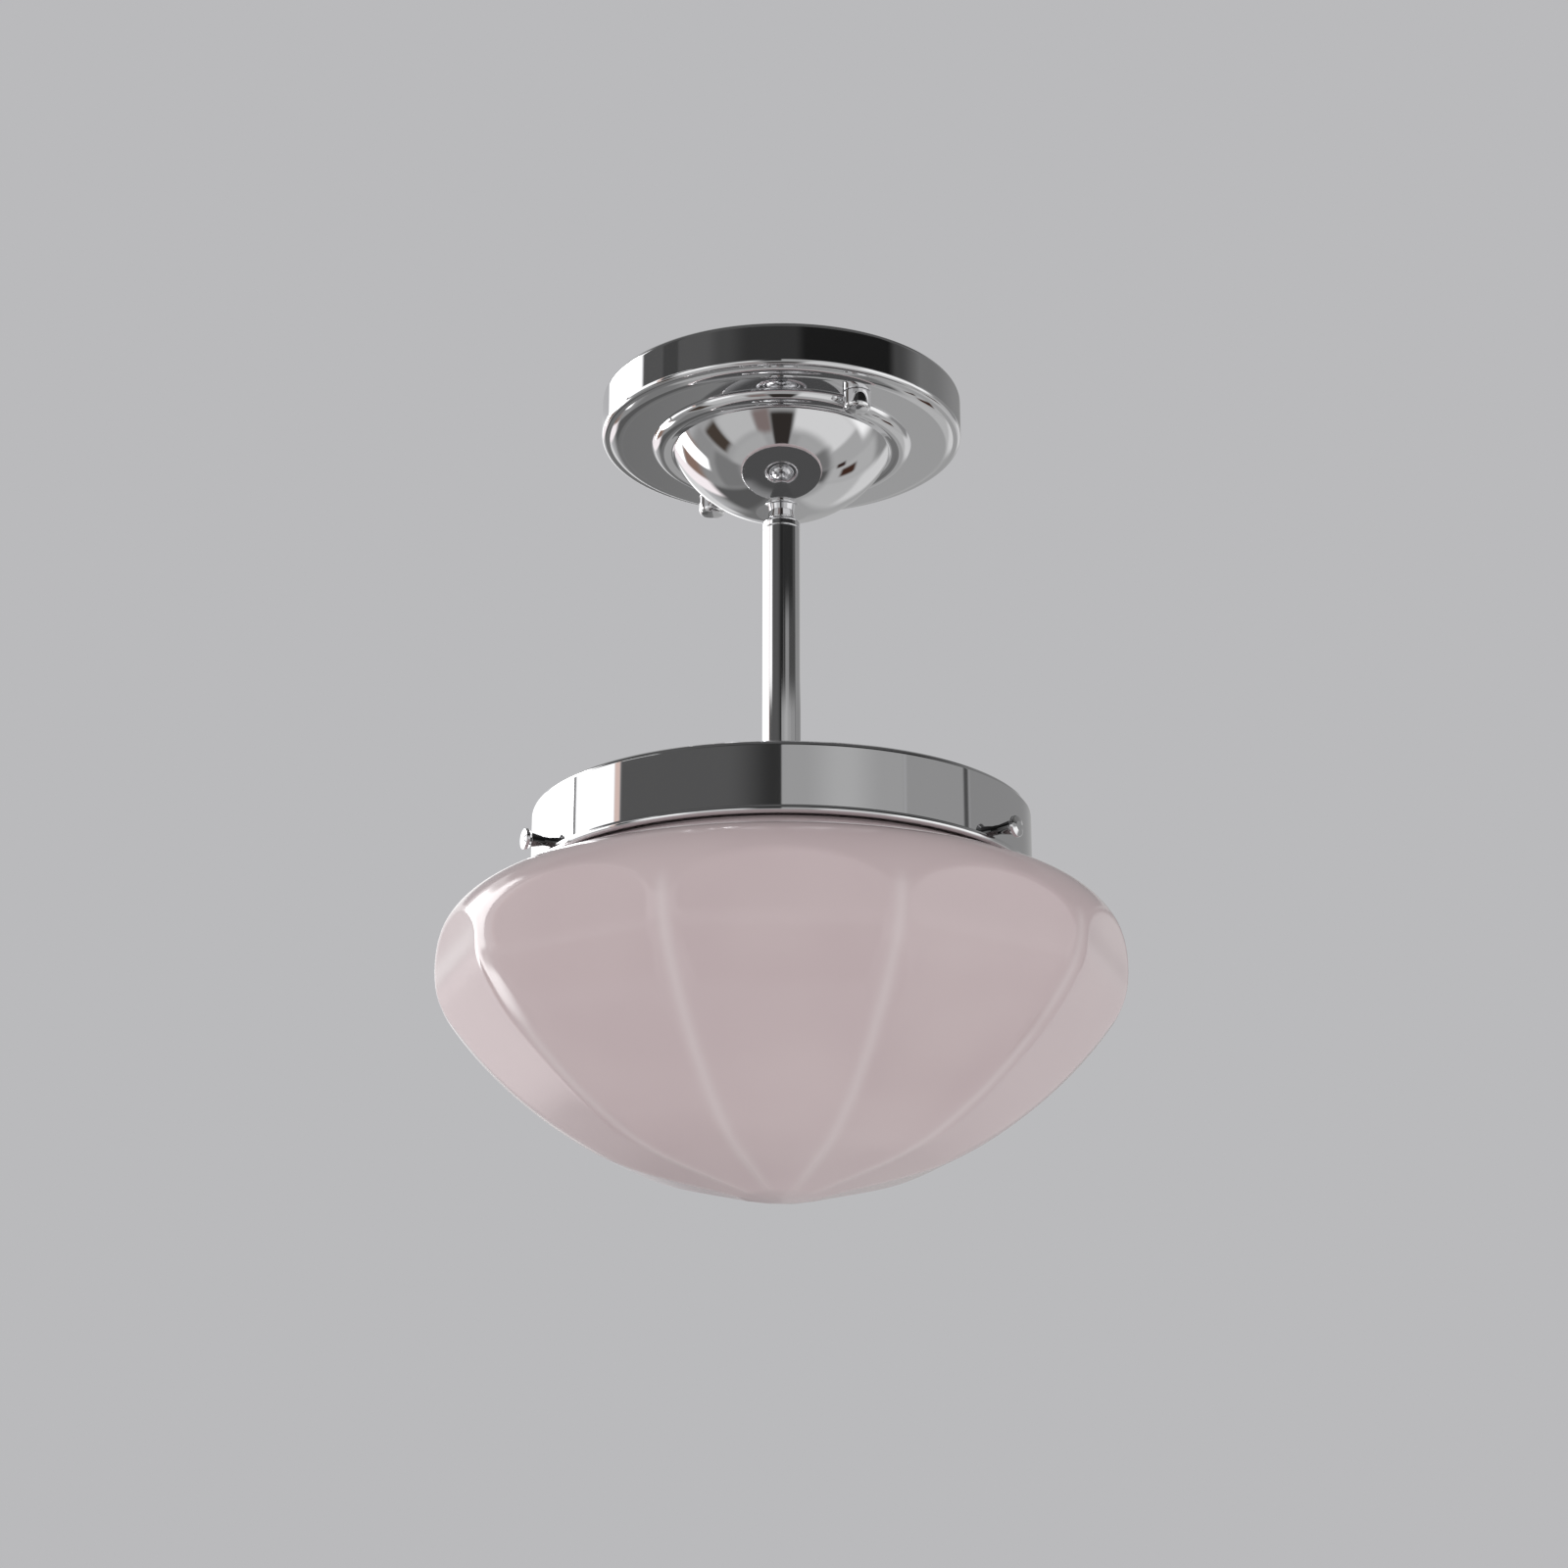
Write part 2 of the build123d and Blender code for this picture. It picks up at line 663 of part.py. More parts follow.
def flat_curve(inset):
    """Points of the line down the middle of a flat, from above its arched top to just past the tip."""
    share = 1 - flat_depth / shade_radius
    top_angle = degrees(atan2(flat_rise, sqrt(shoulder_arc**2 - flat_rise**2)))
    end_angle = -degrees(atan2(sqrt(tip_arc**2 - flat_end_radius**2), flat_end_radius))
    angles = [0, lower_normal / 2, lower_normal, (lower_normal + tip_normal) / 2, tip_normal]
    points = [outline_point(top_angle) - normal(top_angle) * inset]
    for angle in angles:
        on_outline = outline_point(angle)
        points.append(Vector(on_outline.X * share, on_outline.Y) - normal(angle) * inset)
    points.append(outline_point(end_angle) - normal(end_angle) * inset)
    before = points[0] + (points[0] - points[1])
    beyond = points[-1] + (points[-1] - points[-2]) * (flat_end_radius / outline_point(tip_normal).X)
    return [before] + points + [beyond]


def shade_body(inset):
    """Filled glass body, inset from the outer surface, with its flats cut."""
    top = lip_top + inset
    neck = neck_radius - inset
    cone_start = shoulder_centre + normal(cone_normal) * (shoulder_arc - inset)
    neck_corner = cone_start.Y + (cone_start.X - neck) * tan(radians(cone_slope))
    curve = flat_curve(inset)
    clear = shade_radius + flat_cut_margin
    low = curve[-1].Y - flat_cut_margin
    half_width = shade_radius * tan(radians(180 / flat_count)) + flat_cut_margin
    with BuildPart() as body:
        with BuildSketch(Plane.XZ):
            with BuildLine():
                FilletPolyline(
                    (neck, top),
                    (neck, neck_corner),
                    (cone_start.X, cone_start.Y),
                    radius=neck_fillet + inset,
                )
                CenterArc(shoulder_centre, shoulder_arc - inset, cone_normal, -cone_normal)
                CenterArc(lower_centre, lower_arc - inset, 0, lower_normal)
                CenterArc(flank_centre, flank_arc - inset, lower_normal, tip_normal - lower_normal)
                CenterArc(tip_centre, tip_arc - inset, tip_normal, -90 - tip_normal)
                Polyline((0, tip_centre.Y - tip_arc + inset), (0, top), (neck, top))
            make_face()
        revolve(axis=Axis.Z)
    with BuildPart() as flat_cut:
        with BuildSketch(Plane.XZ):
            with BuildLine():
                Spline(*[(point.X, point.Y) for point in curve])
                Polyline(
                    (curve[-1].X, curve[-1].Y),
                    (curve[-1].X, low),
                    (clear, low),
                    (clear, curve[0].Y),
                    (curve[0].X, curve[0].Y),
                )
            make_face()
        extrude(amount=half_width, both=True)
    with BuildPart() as faceted:
        add(body.part)
        with PolarLocations(0, flat_count, start_angle=-90):
            add(flat_cut.part, mode=Mode.SUBTRACT)
    return faceted.part


outer_glass = shade_body(0)
inner_glass = shade_body(glass_wall)
with BuildPart() as glass_shade:
    add(outer_glass)
    with BuildSketch(Plane.XY.offset(lip_bottom)):
        Circle(neck_radius + lip_width)
    extrude(amount=lip_height)
    add(inner_glass, mode=Mode.SUBTRACT)
pieces["glass_shade"] = glass_shade

# Lampholder cap: a threaded neck that opens into a skirt
cap_neck_bottom = holder_top - holder_cap_neck_length
cap_shoulder_bottom = cap_neck_bottom - holder_cap_shoulder
cap_inside = holder_diameter / 2 - holder_cap_wall
with BuildPart() as holder_cap:
    with BuildSketch(Plane.XZ):
        with BuildLine():
            Polyline(
                (bottom_hole_radius, holder_top),
                (holder_cap_neck_diameter / 2, holder_top),
                (holder_cap_neck_diameter / 2, cap_neck_bottom),
                (holder_diameter / 2, cap_shoulder_bottom),
                (holder_diameter / 2, holder_cap_bottom),
                (cap_inside, holder_cap_bottom),
                (cap_inside, cap_shoulder_bottom - holder_cap_wall / 2),
                (bottom_hole_radius, cap_neck_bottom - holder_cap_wall / 2),
                close=True,
            )
        make_face()
    revolve(axis=Axis.Z)
pieces["holder_cap"] = holder_cap

# Lampholder body: a tube with a ledge that carries the insert
with BuildPart() as holder_body:
    with BuildSketch(Plane.XY.offset(holder_bottom)):
        Circle(holder_diameter / 2)
        Circle(holder_lower_bore / 2, mode=Mode.SUBTRACT)
    extrude(amount=holder_length)
    with BuildSketch(Plane.XY.offset(insert_bottom)):
        Circle(holder_upper_bore / 2)
    extrude(amount=insert_thickness, mode=Mode.SUBTRACT)
pieces["holder_body"] = holder_body

# Porcelain insert, with a recess on top where the wires end
with BuildPart() as holder_insert:
    with BuildSketch(Plane.XY.offset(insert_bottom)):
        Circle(holder_upper_bore / 2 - press_gap)
    extrude(amount=insert_thickness)
    with BuildSketch(Plane.XY.offset(holder_cap_bottom - insert_recess_depth)):
        Circle(insert_recess_diameter / 2)
    extrude(amount=insert_recess_depth, mode=Mode.SUBTRACT)
pieces["holder_insert"] = holder_insert

# Screw shell and centre contact under the insert
shell_bottom = insert_bottom - shell_length
with BuildPart() as holder_shell:
    with BuildSketch(Plane.XY.offset(shell_bottom)):
        Circle(shell_bore / 2 + shell_wall)
    extrude(amount=shell_length)
    with BuildSketch(Plane.XY.offset(shell_bottom)):
        Circle(shell_bore / 2)
    extrude(amount=shell_length - shell_wall, mode=Mode.SUBTRACT)
    with BuildSketch(Plane.XY.offset(shell_bottom)):
        Circle(shell_flange_bore / 2)
    extrude(amount=shell_length, mode=Mode.SUBTRACT)
pieces["holder_shell"] = holder_shell
pieces["holder_contact"] = ring(contact_diameter / 2, contact_hole_diameter / 2, insert_bottom, contact_bottom)

# Bulb: button contact, insulator, screw cap, collar and globe
with BuildPart() as bulb_contact:
    with BuildSketch(Plane.XY.offset(bulb_button_bottom)):
        Circle(contact_diameter / 2)
    extrude(amount=bulb_button_height)
    fillet(bulb_contact.edges().group_by(Axis.Z)[-1], bulb_button_height / 2)
pieces["bulb_contact"] = bulb_contact

with BuildPart() as bulb_insulator:
    with BuildSketch(Plane.XY.offset(bulb_cap_top)):
        Circle(bulb_insulator_diameter / 2)
    with BuildSketch(Plane.XY.offset(bulb_button_bottom)):
        Circle(contact_diameter / 2)
    loft()
pieces["bulb_insulator"] = bulb_insulator

with BuildPart() as bulb_cap:
    with BuildSketch(Plane.XZ):
        with BuildLine():
            Polyline(
                (bulb_insulator_diameter / 2 - bulb_cap_wall, bulb_cap_top),
                (bulb_insulator_diameter / 2, bulb_cap_top),
                (bulb_cap_radius, bulb_cap_top - bulb_cap_taper),
                (bulb_cap_radius, bulb_cap_bottom),
                (bulb_cap_radius - bulb_cap_wall, bulb_cap_bottom),
                (bulb_cap_radius - bulb_cap_wall, bulb_cap_top - bulb_cap_taper),
                close=True,
            )
        make_face()
    revolve(axis=Axis.Z)
pieces["bulb_cap"] = bulb_cap

with BuildPart() as bulb_collar:
    with BuildSketch(Plane.XZ):
        with BuildLine():
            Polyline(
                (bulb_cap_radius - bulb_collar_wall, bulb_cap_bottom),
                (bulb_cap_radius, bulb_cap_bottom),
                (bulb_collar_end_radius, bulb_collar_bottom),
                (bulb_collar_end_radius - bulb_collar_wall, bulb_collar_bottom),
                close=True,
            )
        make_face()
    revolve(axis=Axis.Z)
pieces["bulb_collar"] = bulb_collar

globe_start = degrees(atan2(bulb_collar_bottom - bulb_globe_centre, bulb_collar_end_radius))
globe_inside = bulb_globe_radius - bulb_globe_wall
globe_inside_start = degrees(
    atan2(bulb_collar_bottom - bulb_globe_centre, sqrt(globe_inside**2 - (bulb_collar_bottom - bulb_globe_centre) ** 2))
)
with BuildPart() as bulb_globe:
    with BuildSketch(Plane.XZ):
        with BuildLine():
            outside = CenterArc((0, bulb_globe_centre), bulb_globe_radius, globe_start, -90 - globe_start)
            inside = CenterArc((0, bulb_globe_centre), globe_inside, globe_inside_start, -90 - globe_inside_start)
            Line(outside @ 0, inside @ 0)
            Line(outside @ 1, inside @ 1)
        make_face()
    revolve(axis=Axis.Z)
pieces["bulb_globe"] = bulb_globe


def wire(points, bends):
    """Insulated wire along straight runs joined by tangent arcs; points are along, across and height."""
    route = [on_bar(along, across) + Vector(0, 0, height) for along, across, height in points]
    first_run = (route[1] - route[0]).normalized()
    with BuildPart() as body:
        with BuildLine():
            FilletPolyline(*route, radius=bends)
        with BuildSketch(Plane(origin=route[0], z_dir=first_run)):
            Circle(wire_diameter / 2)
        sweep()
    return body


# Wires: two go down the stem to the lampholder, one joins the block to the earth screw
wire_start = block_centre - pole_screw_spread / 2 + pole_screw_diameter / 2
wire_exit = bar_width / 2 + wire_bar_gap
wire_end = holder_cap_bottom - insert_recess_depth
for name, pole, spread in (("live_wire", pole_pitch, wire_spread), ("neutral_wire", 0, -wire_spread)):
    pieces[name] = wire(
        [
            (pole, wire_start, pole_level),
            (pole, wire_exit, pole_level),
            (spread, 0, -wire_turn_drop),
            (spread, 0, wire_end),
        ],
        wire_bend,
    )
earth_wire_end = earth_screw_diameter / 2 + wire_gap
pieces["earth_wire"] = wire(
    [
        (-pole_pitch, wire_start, pole_level),
        (-pole_pitch, wire_exit, pole_level),
        (-earth_screw_offset, earth_wire_end + wire_diameter, earth_wire_level),
        (-earth_screw_offset, earth_wire_end, earth_wire_level),
    ],
    earth_bend,
)

for name, piece in pieces.items():
    piece.part.label = name
    export_step(piece.part, f"parts/{name}.step")
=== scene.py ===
"""Looks of a semi-flush glass ceiling light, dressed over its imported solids."""

from __future__ import annotations

import json
import logging
import math
from collections.abc import Callable
from dataclasses import dataclass, field
from enum import Enum
from typing import Any

import bpy
import numpy as np
from bpy.types import Material, Mesh, Node, NodeSocket, NodeTree, Object
from mathutils import Matrix

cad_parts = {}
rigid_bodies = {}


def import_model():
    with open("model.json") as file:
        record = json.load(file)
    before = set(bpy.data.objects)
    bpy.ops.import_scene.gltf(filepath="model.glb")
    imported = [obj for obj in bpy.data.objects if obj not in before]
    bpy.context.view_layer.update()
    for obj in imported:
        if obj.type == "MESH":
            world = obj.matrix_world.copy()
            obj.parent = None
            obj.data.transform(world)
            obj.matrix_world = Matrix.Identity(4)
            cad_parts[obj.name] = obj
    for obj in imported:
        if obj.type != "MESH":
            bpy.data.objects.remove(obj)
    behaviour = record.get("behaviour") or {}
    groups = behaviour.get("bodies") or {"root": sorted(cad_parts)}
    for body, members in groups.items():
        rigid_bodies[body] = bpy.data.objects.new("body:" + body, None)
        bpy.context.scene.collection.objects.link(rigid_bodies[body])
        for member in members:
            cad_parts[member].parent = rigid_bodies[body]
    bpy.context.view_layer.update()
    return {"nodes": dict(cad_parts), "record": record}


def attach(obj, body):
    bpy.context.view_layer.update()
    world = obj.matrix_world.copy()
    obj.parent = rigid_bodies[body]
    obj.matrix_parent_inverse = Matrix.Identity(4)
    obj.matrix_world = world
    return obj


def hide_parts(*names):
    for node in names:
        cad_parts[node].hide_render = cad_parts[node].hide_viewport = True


LOG = logging.getLogger("ceiling_light")
# Metres in a millimetre: pieces hold their sizes in millimetres and degrees, finishes in metres
MM = 0.001
# Steps round the axis of wide, slim and small turned pieces, and sides of a drill
WIDE_TURN = 192
SLIM_TURN = 96
SMALL_TURN = 64
DRILL_SIDES = 32
# Short straight kept beside a rounding, in millimetres
GUARD = 0.12
# Angle in degrees from which an edge is shaded sharp
SHARP = 30.0
# Radius that lies on the axis, length too small to divide by, half angle of a folded corner
ON_AXIS = 1e-9
TINY = 1e-6
FOLDED = 1e-3
# Distance in millimetres that stands for no flat at all
NO_FLAT = 1000.0

Colour = tuple[float, float, float]
Vector = tuple[float, float, float]
Point = tuple[float, float]
Range = tuple[float, float]
Inputs = dict[str | int, Any]


class Body(Enum):
    """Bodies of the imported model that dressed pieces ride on."""

    FIXTURE = "fixture"
    CAP_NUT_FRONT = "cap_nut_front"
    CAP_NUT_REAR = "cap_nut_rear"
    SCREW_LEFT = "shade_screw_left"
    SCREW_RIGHT = "shade_screw_right"
    SCREW_REAR = "shade_screw_rear"


def node_operator(operation: str, swapped: bool = False) -> Callable[[Value, Value | float], Value]:
    """Makes an arithmetic operator of values out of a Math node.

    Args:
        operation: Name of the Math node's operation.
        swapped: Whether the other operand stands on the left.

    Returns:
        The operator.
    """
    def combine(value: Value, other: Value | float) -> Value:
        """Adds the Math node with both operands."""
        operands = (other, value) if swapped else (value, other)
        return value.tree.math(operation, *operands)

    return combine


class Value:
    """Number or geometry in a node tree; numbers take part in Python arithmetic."""

    __add__ = node_operator("ADD")
    __radd__ = node_operator("ADD", swapped=True)
    __sub__ = node_operator("SUBTRACT")
    __rsub__ = node_operator("SUBTRACT", swapped=True)
    __mul__ = node_operator("MULTIPLY")
    __rmul__ = node_operator("MULTIPLY", swapped=True)
    __truediv__ = node_operator("DIVIDE")
    __rtruediv__ = node_operator("DIVIDE", swapped=True)
    __pow__ = node_operator("POWER")

    def __init__(self, tree: Tree, socket: NodeSocket) -> None:
        """Keeps the socket and the tree it belongs to."""
        self.tree = tree
        self.socket = socket

    def __neg__(self) -> Value:
        """Value with its sign changed."""
        return self * -1.0


class Tree:
    """Node tree that is written as Python calls."""

    # Factor and colour inputs of the Mix node, and its colour output
    mix_inputs = (0, 6, 7)
    mix_result = 2

    def __init__(self, nodes: NodeTree) -> None:
        """Starts from an empty tree."""
        self.nodes = nodes
        nodes.nodes.clear()

    def node(self, kind: str, inputs: Inputs | None = None, **settings: Any) -> Node:
        """Adds one node, sets it up and feeds its sockets.

        Args:
            kind: Node type, such as "ShaderNodeMath".
            inputs: Socket names or numbers with a constant, a value or a socket for each.
            settings: Properties of the node.

        Returns:
            The new node.
        """
        made = self.nodes.nodes.new(kind)
        for name, setting in settings.items():
            setattr(made, name, setting)
        for name, value in (inputs or {}).items():
            self.feed(made.inputs[name], value)
        return made

    def feed(self, socket: NodeSocket, value: Any) -> None:
        """Links a value or a socket to an input, or sets a constant there.

        Args:
            socket: Input to feed.
            value: Value, node socket or constant.
        """
        source = value.socket if isinstance(value, Value) else value
        if isinstance(source, NodeSocket):
            self.nodes.links.new(source, socket)
        else:
            socket.default_value = source

    def output(self, kind: str, inputs: Inputs | None = None, name: str | int = 0, **settings: Any) -> Value:
        """Adds a node and gives one of its outputs, by name or number."""
        return Value(self, self.node(kind, inputs, **settings).outputs[name])

    def math(self, operation: str, *operands: Value | float) -> Value:
        """Adds one Math node with its operands in order."""
        return self.output("ShaderNodeMath", dict(enumerate(operands)), operation=operation)

    def vector(self, *parts: Value | float) -> Value:
        """Joins X, Y and Z into a vector."""
        return self.output("ShaderNodeCombineXYZ", dict(enumerate(parts)))

    def axes(self, vector: Value | NodeSocket) -> list[Value]:
        """Splits a vector into X, Y and Z."""
        made = self.node("ShaderNodeSeparateXYZ", {0: vector})
        return [Value(self, part) for part in made.outputs]

    def ease(self, value: Value, low: float, high: float) -> Value:
        """Smooth step of a value, 0 up to the low place and 1 from the high place on."""
        limits = {"Value": value, "From Min": low, "From Max": high}
        return self.output("ShaderNodeMapRange", limits, interpolation_type="SMOOTHSTEP")

    def mix(self, share: Value | float, first: Any, second: Any) -> NodeSocket:
        """Mixes two colours.

        Args:
            share: Part of the second colour.
            first: Colour or colour socket.
            second: Colour or colour socket.

        Returns:
            The mixed colour's socket.
        """
        colours = [(*colour, 1.0) if isinstance(colour, tuple) else colour for colour in (first, second)]
        made = self.node("ShaderNodeMix", dict(zip(self.mix_inputs, (share, *colours))), data_type="RGBA")
        return made.outputs[self.mix_result]

    def noise(self, place: NodeSocket, size: float, detail: float, stretch: Vector = (1, 1, 1)) -> Value:
        """Cloud noise about 0.5 with its largest grain in metres and its octaves of finer detail."""
        mapped = self.output("ShaderNodeMapping", {"Vector": place, "Scale": stretch})
        return self.output("ShaderNodeTexNoise", {"Vector": mapped, "Scale": 1.0 / size, "Detail": detail})

    def carried(self, name: str) -> Value:
        """Reads a number that the points of a mesh carry, in a geometry group."""
        return self.output("GeometryNodeInputNamedAttribute", {"Name": name}, "Attribute", data_type="FLOAT")


class Surface:
    """One material whose principled shader is fed by value expressions."""

    def __init__(self, name: str) -> None:
        """Makes an empty material with a shader and its output.

        Args:
            name: Name of the material.
        """
        self.material = bpy.data.materials.new(name)
        self.material.use_nodes = True
        self.tree = Tree(self.material.node_tree)
        self.shader = self.tree.node("ShaderNodeBsdfPrincipled")
        self.tree.node("ShaderNodeOutputMaterial", {"Surface": self.shader.outputs[0]})
        self.place = self.tree.node("ShaderNodeTexCoord").outputs["Object"]

    def set(self, **sockets: Any) -> None:
        """Feeds the shader's sockets, named with underscores for spaces."""
        for name, value in sockets.items():
            self.tree.feed(self.shader.inputs[name.replace("_", " ")], value)

    def attribute(self, name: str) -> Value:
        """Reads a number that the piece's mesh carries, 0 where it carries none."""
        return self.tree.output("ShaderNodeAttribute", None, "Fac", attribute_name=name)

    def bump(self, height: Value, depth: float) -> None:
        """Raises the surface by a pattern from 0 to 1, with its depth in metres."""
        pattern = {"Strength": 1.0, "Distance": depth, "Height": height}
        self.set(Normal=self.tree.output("ShaderNodeBump", pattern))


@dataclass(frozen=True)
class PolishedChrome:
    """Bright chrome plate with faint smears of handling, and painted shade where a piece is threaded."""

    tint: Colour = (0.86, 0.86, 0.87)
    # Dark colour of the threaded shanks: painted shade of the thread grooves
    painted_thread_shade: Colour = (0.12, 0.12, 0.12)
    gloss: float = 0.03
    smear: float = 0.05
    smear_size: float = 0.030
    smear_contrast: float = 3.0
    ripple_size: float = 0.020
    ripple_stretch: Vector = (1.0, 1.0, 0.3)
    ripple_depth: float = 0.000004

    def material(self) -> Material:
        """Builds the finish.

        Returns:
            Its material.
        """
        surface = Surface("polished_chrome")
        tree = surface.tree
        smears = tree.noise(surface.place, self.smear_size, detail=4.0) ** self.smear_contrast
        ripple = tree.noise(surface.place, self.ripple_size, detail=1.0, stretch=self.ripple_stretch)
        # Painted shade: the dark thread colour where the mesh marks a threaded shank
        colour = tree.mix(surface.attribute("painted_thread_shade"), self.tint, self.painted_thread_shade)
        surface.set(Base_Color=colour, Metallic=1.0, Roughness=self.gloss + self.smear * smears)
        surface.bump(ripple, self.ripple_depth)
        return surface.material


@dataclass(frozen=True)
class OpalGlass:
    """Glossy opal glass, pinkish grey, with a painted highlight along its pressed ridges that also stands
    for the whiter look of the thicker glass there.
    """

    body: Colour = (0.480, 0.392, 0.402)
    # Paler ridge colour: painted highlight along the ridges, together with the whiter look of the thicker
    # glass there
    ridge_highlight: Colour = (0.57, 0.50, 0.505)
    ridge_highlight_share: float = 0.6
    cloud: Colour = (0.505, 0.418, 0.425)
    cloud_size: float = 0.06
    cloud_edges: Range = (0.35, 0.7)
    gloss: float = 0.07
    gloss_change: float = 0.04
    refraction: float = 1.5

    def material(self) -> Material:
        """Builds the finish.

        Returns:
            Its material.
        """
        surface = Surface("opal_glass")
        tree = surface.tree
        clouds = tree.ease(tree.noise(surface.place, self.cloud_size, detail=2.0), *self.cloud_edges)
        melt = tree.mix(clouds, self.body, self.cloud)
        # Painted highlight: the paler ridge colour laid along the ridges where the pressed flats mark them
        colour = tree.mix(self.ridge_highlight_share * surface.attribute("ridge_highlight"), melt, self.ridge_highlight)
        roughness = self.gloss + self.gloss_change * clouds
        surface.set(Base_Color=colour, Roughness=roughness, IOR=self.refraction)
        return surface.material


@dataclass(frozen=True)
class PlatedSteel:
    """Zinc plated steel with a spangled, slightly dull skin."""

    tint: Colour = (0.60, 0.60, 0.58)
    dull: Colour = (0.47, 0.47, 0.45)
    gloss: float = 0.32
    gloss_change: float = 0.2
    grain_size: float = 0.004
    grain_depth: float = 0.00001

    def material(self) -> Material:
        """Builds the finish.

        Returns:
            Its material.
        """
        surface = Surface("zinc_steel")
        grain = surface.tree.noise(surface.place, self.grain_size, detail=3.0)
        colour = surface.tree.mix(grain, self.tint, self.dull)
        surface.set(Base_Color=colour, Metallic=1.0, Roughness=self.gloss + self.gloss_change * grain)
        surface.bump(grain, self.grain_depth)
        return surface.material


@dataclass(frozen=True)
class PlainMetal:
    """Turned metal such as brass or nickel, with fine turning lines round its axis."""

    name: str
    tint: Colour
    tarnish: Colour
    gloss: float = 0.22
    gloss_change: float = 0.15
    stain_size: float = 0.006
    stain_contrast: float = 2.0
    line_stretch: Vector = (1.0, 1.0, 12.0)
    line_depth: float = 0.00001

    def material(self) -> Material:
        """Builds the finish.

        Returns:
            Its material.
        """
        surface = Surface(self.name)
        tree = surface.tree
        stain = tree.noise(surface.place, self.stain_size, detail=4.0)
        lines = tree.noise(surface.place, self.stain_size, detail=2.0, stretch=self.line_stretch)
        colour = tree.mix(stain**self.stain_contrast, self.tint, self.tarnish)
        surface.set(Base_Color=colour, Metallic=1.0, Roughness=self.gloss + self.gloss_change * stain)
        surface.bump(lines, self.line_depth)
        return surface.material


@dataclass(frozen=True)
class Moulding:
    """Moulded plastic, porcelain or opal skin with a fine grain."""

    name: str
    tint: Colour
    shade: Colour
    gloss: float = 0.45
    grain_size: float = 0.0012
    grain_depth: float = 0.00001
    gloss_change: float = 0.1
    cloud_grains: float = 20.0

    def material(self) -> Material:
        """Builds the finish.

        Returns:
            Its material.
        """
        surface = Surface(self.name)
        tree = surface.tree
        clouds = tree.noise(surface.place, self.cloud_grains * self.grain_size, detail=3.0)
        grain = tree.noise(surface.place, self.grain_size, detail=2.0)
        colour = tree.mix(clouds, self.tint, self.shade)
        surface.set(Base_Color=colour, Roughness=self.gloss + self.gloss_change * grain)
        surface.bump(grain, self.grain_depth)
        return surface.material


@dataclass(frozen=True)
class StripedSheath:
    """Green wire insulation with a yellow stripe along one side."""

    green: Colour = (0.08, 0.32, 0.05)
    yellow: Colour = (0.75, 0.60, 0.04)
    stripe_size: float = 0.0035
    stripe_span: float = 0.05
    stripe_edges: Range = (0.62, 0.7)
    gloss: float = 0.45
    gloss_change: float = 0.05

    def material(self) -> Material:
        """Builds the finish.

        Returns:
            Its material.
        """
        surface = Surface("wire_green")
        tree = surface.tree
        pattern = {"Vector": surface.place, "Scale": self.stripe_span / self.stripe_size, "Distortion": 0.0}
        wave = tree.output("ShaderNodeTexWave", pattern, bands_direction="DIAGONAL")
        colour = tree.mix(tree.ease(wave, *self.stripe_edges), self.green, self.yellow)
        surface.set(Base_Color=colour, Roughness=self.gloss + self.gloss_change * wave)
        return surface.material


def finishes() -> dict[str, Material]:
    """Builds the materials of the light.

    Returns:
        The materials by the record's slot names.
    """
    recipes = {
        "chrome": PolishedChrome(),
        "opal_glass": OpalGlass(),
        "zinc_steel": PlatedSteel(),
        "brass": PlainMetal("brass", (0.72, 0.52, 0.20), (0.45, 0.30, 0.12)),
        "cap_metal": PlainMetal("cap_metal", (0.72, 0.71, 0.68), (0.52, 0.51, 0.48)),
        "white_plastic": Moulding("white_plastic", (0.80, 0.80, 0.77), (0.74, 0.73, 0.70)),
        "holder_plastic": Moulding("holder_plastic", (0.78, 0.78, 0.75), (0.72, 0.71, 0.68), 0.3),
        "porcelain": Moulding("porcelain", (0.82, 0.81, 0.77), (0.77, 0.75, 0.70), 0.12, 0.002),
        "bulb_black": Moulding("bulb_black", (0.015, 0.015, 0.016), (0.03, 0.03, 0.03), 0.15),
        "bulb_white": Moulding("bulb_white", (0.82, 0.82, 0.82), (0.78, 0.78, 0.78), 0.4),
        "bulb_opal": Moulding("bulb_opal", (0.86, 0.86, 0.84), (0.82, 0.82, 0.80), 0.5, 0.0006),
        "wire_brown": Moulding("wire_brown", (0.10, 0.045, 0.02), (0.13, 0.06, 0.03), 0.4),
        "wire_blue": Moulding("wire_blue", (0.03, 0.09, 0.34), (0.04, 0.12, 0.40), 0.4),
        "wire_green": StripedSheath(),
    }
    return {slot: recipe.material() for slot, recipe in recipes.items()}


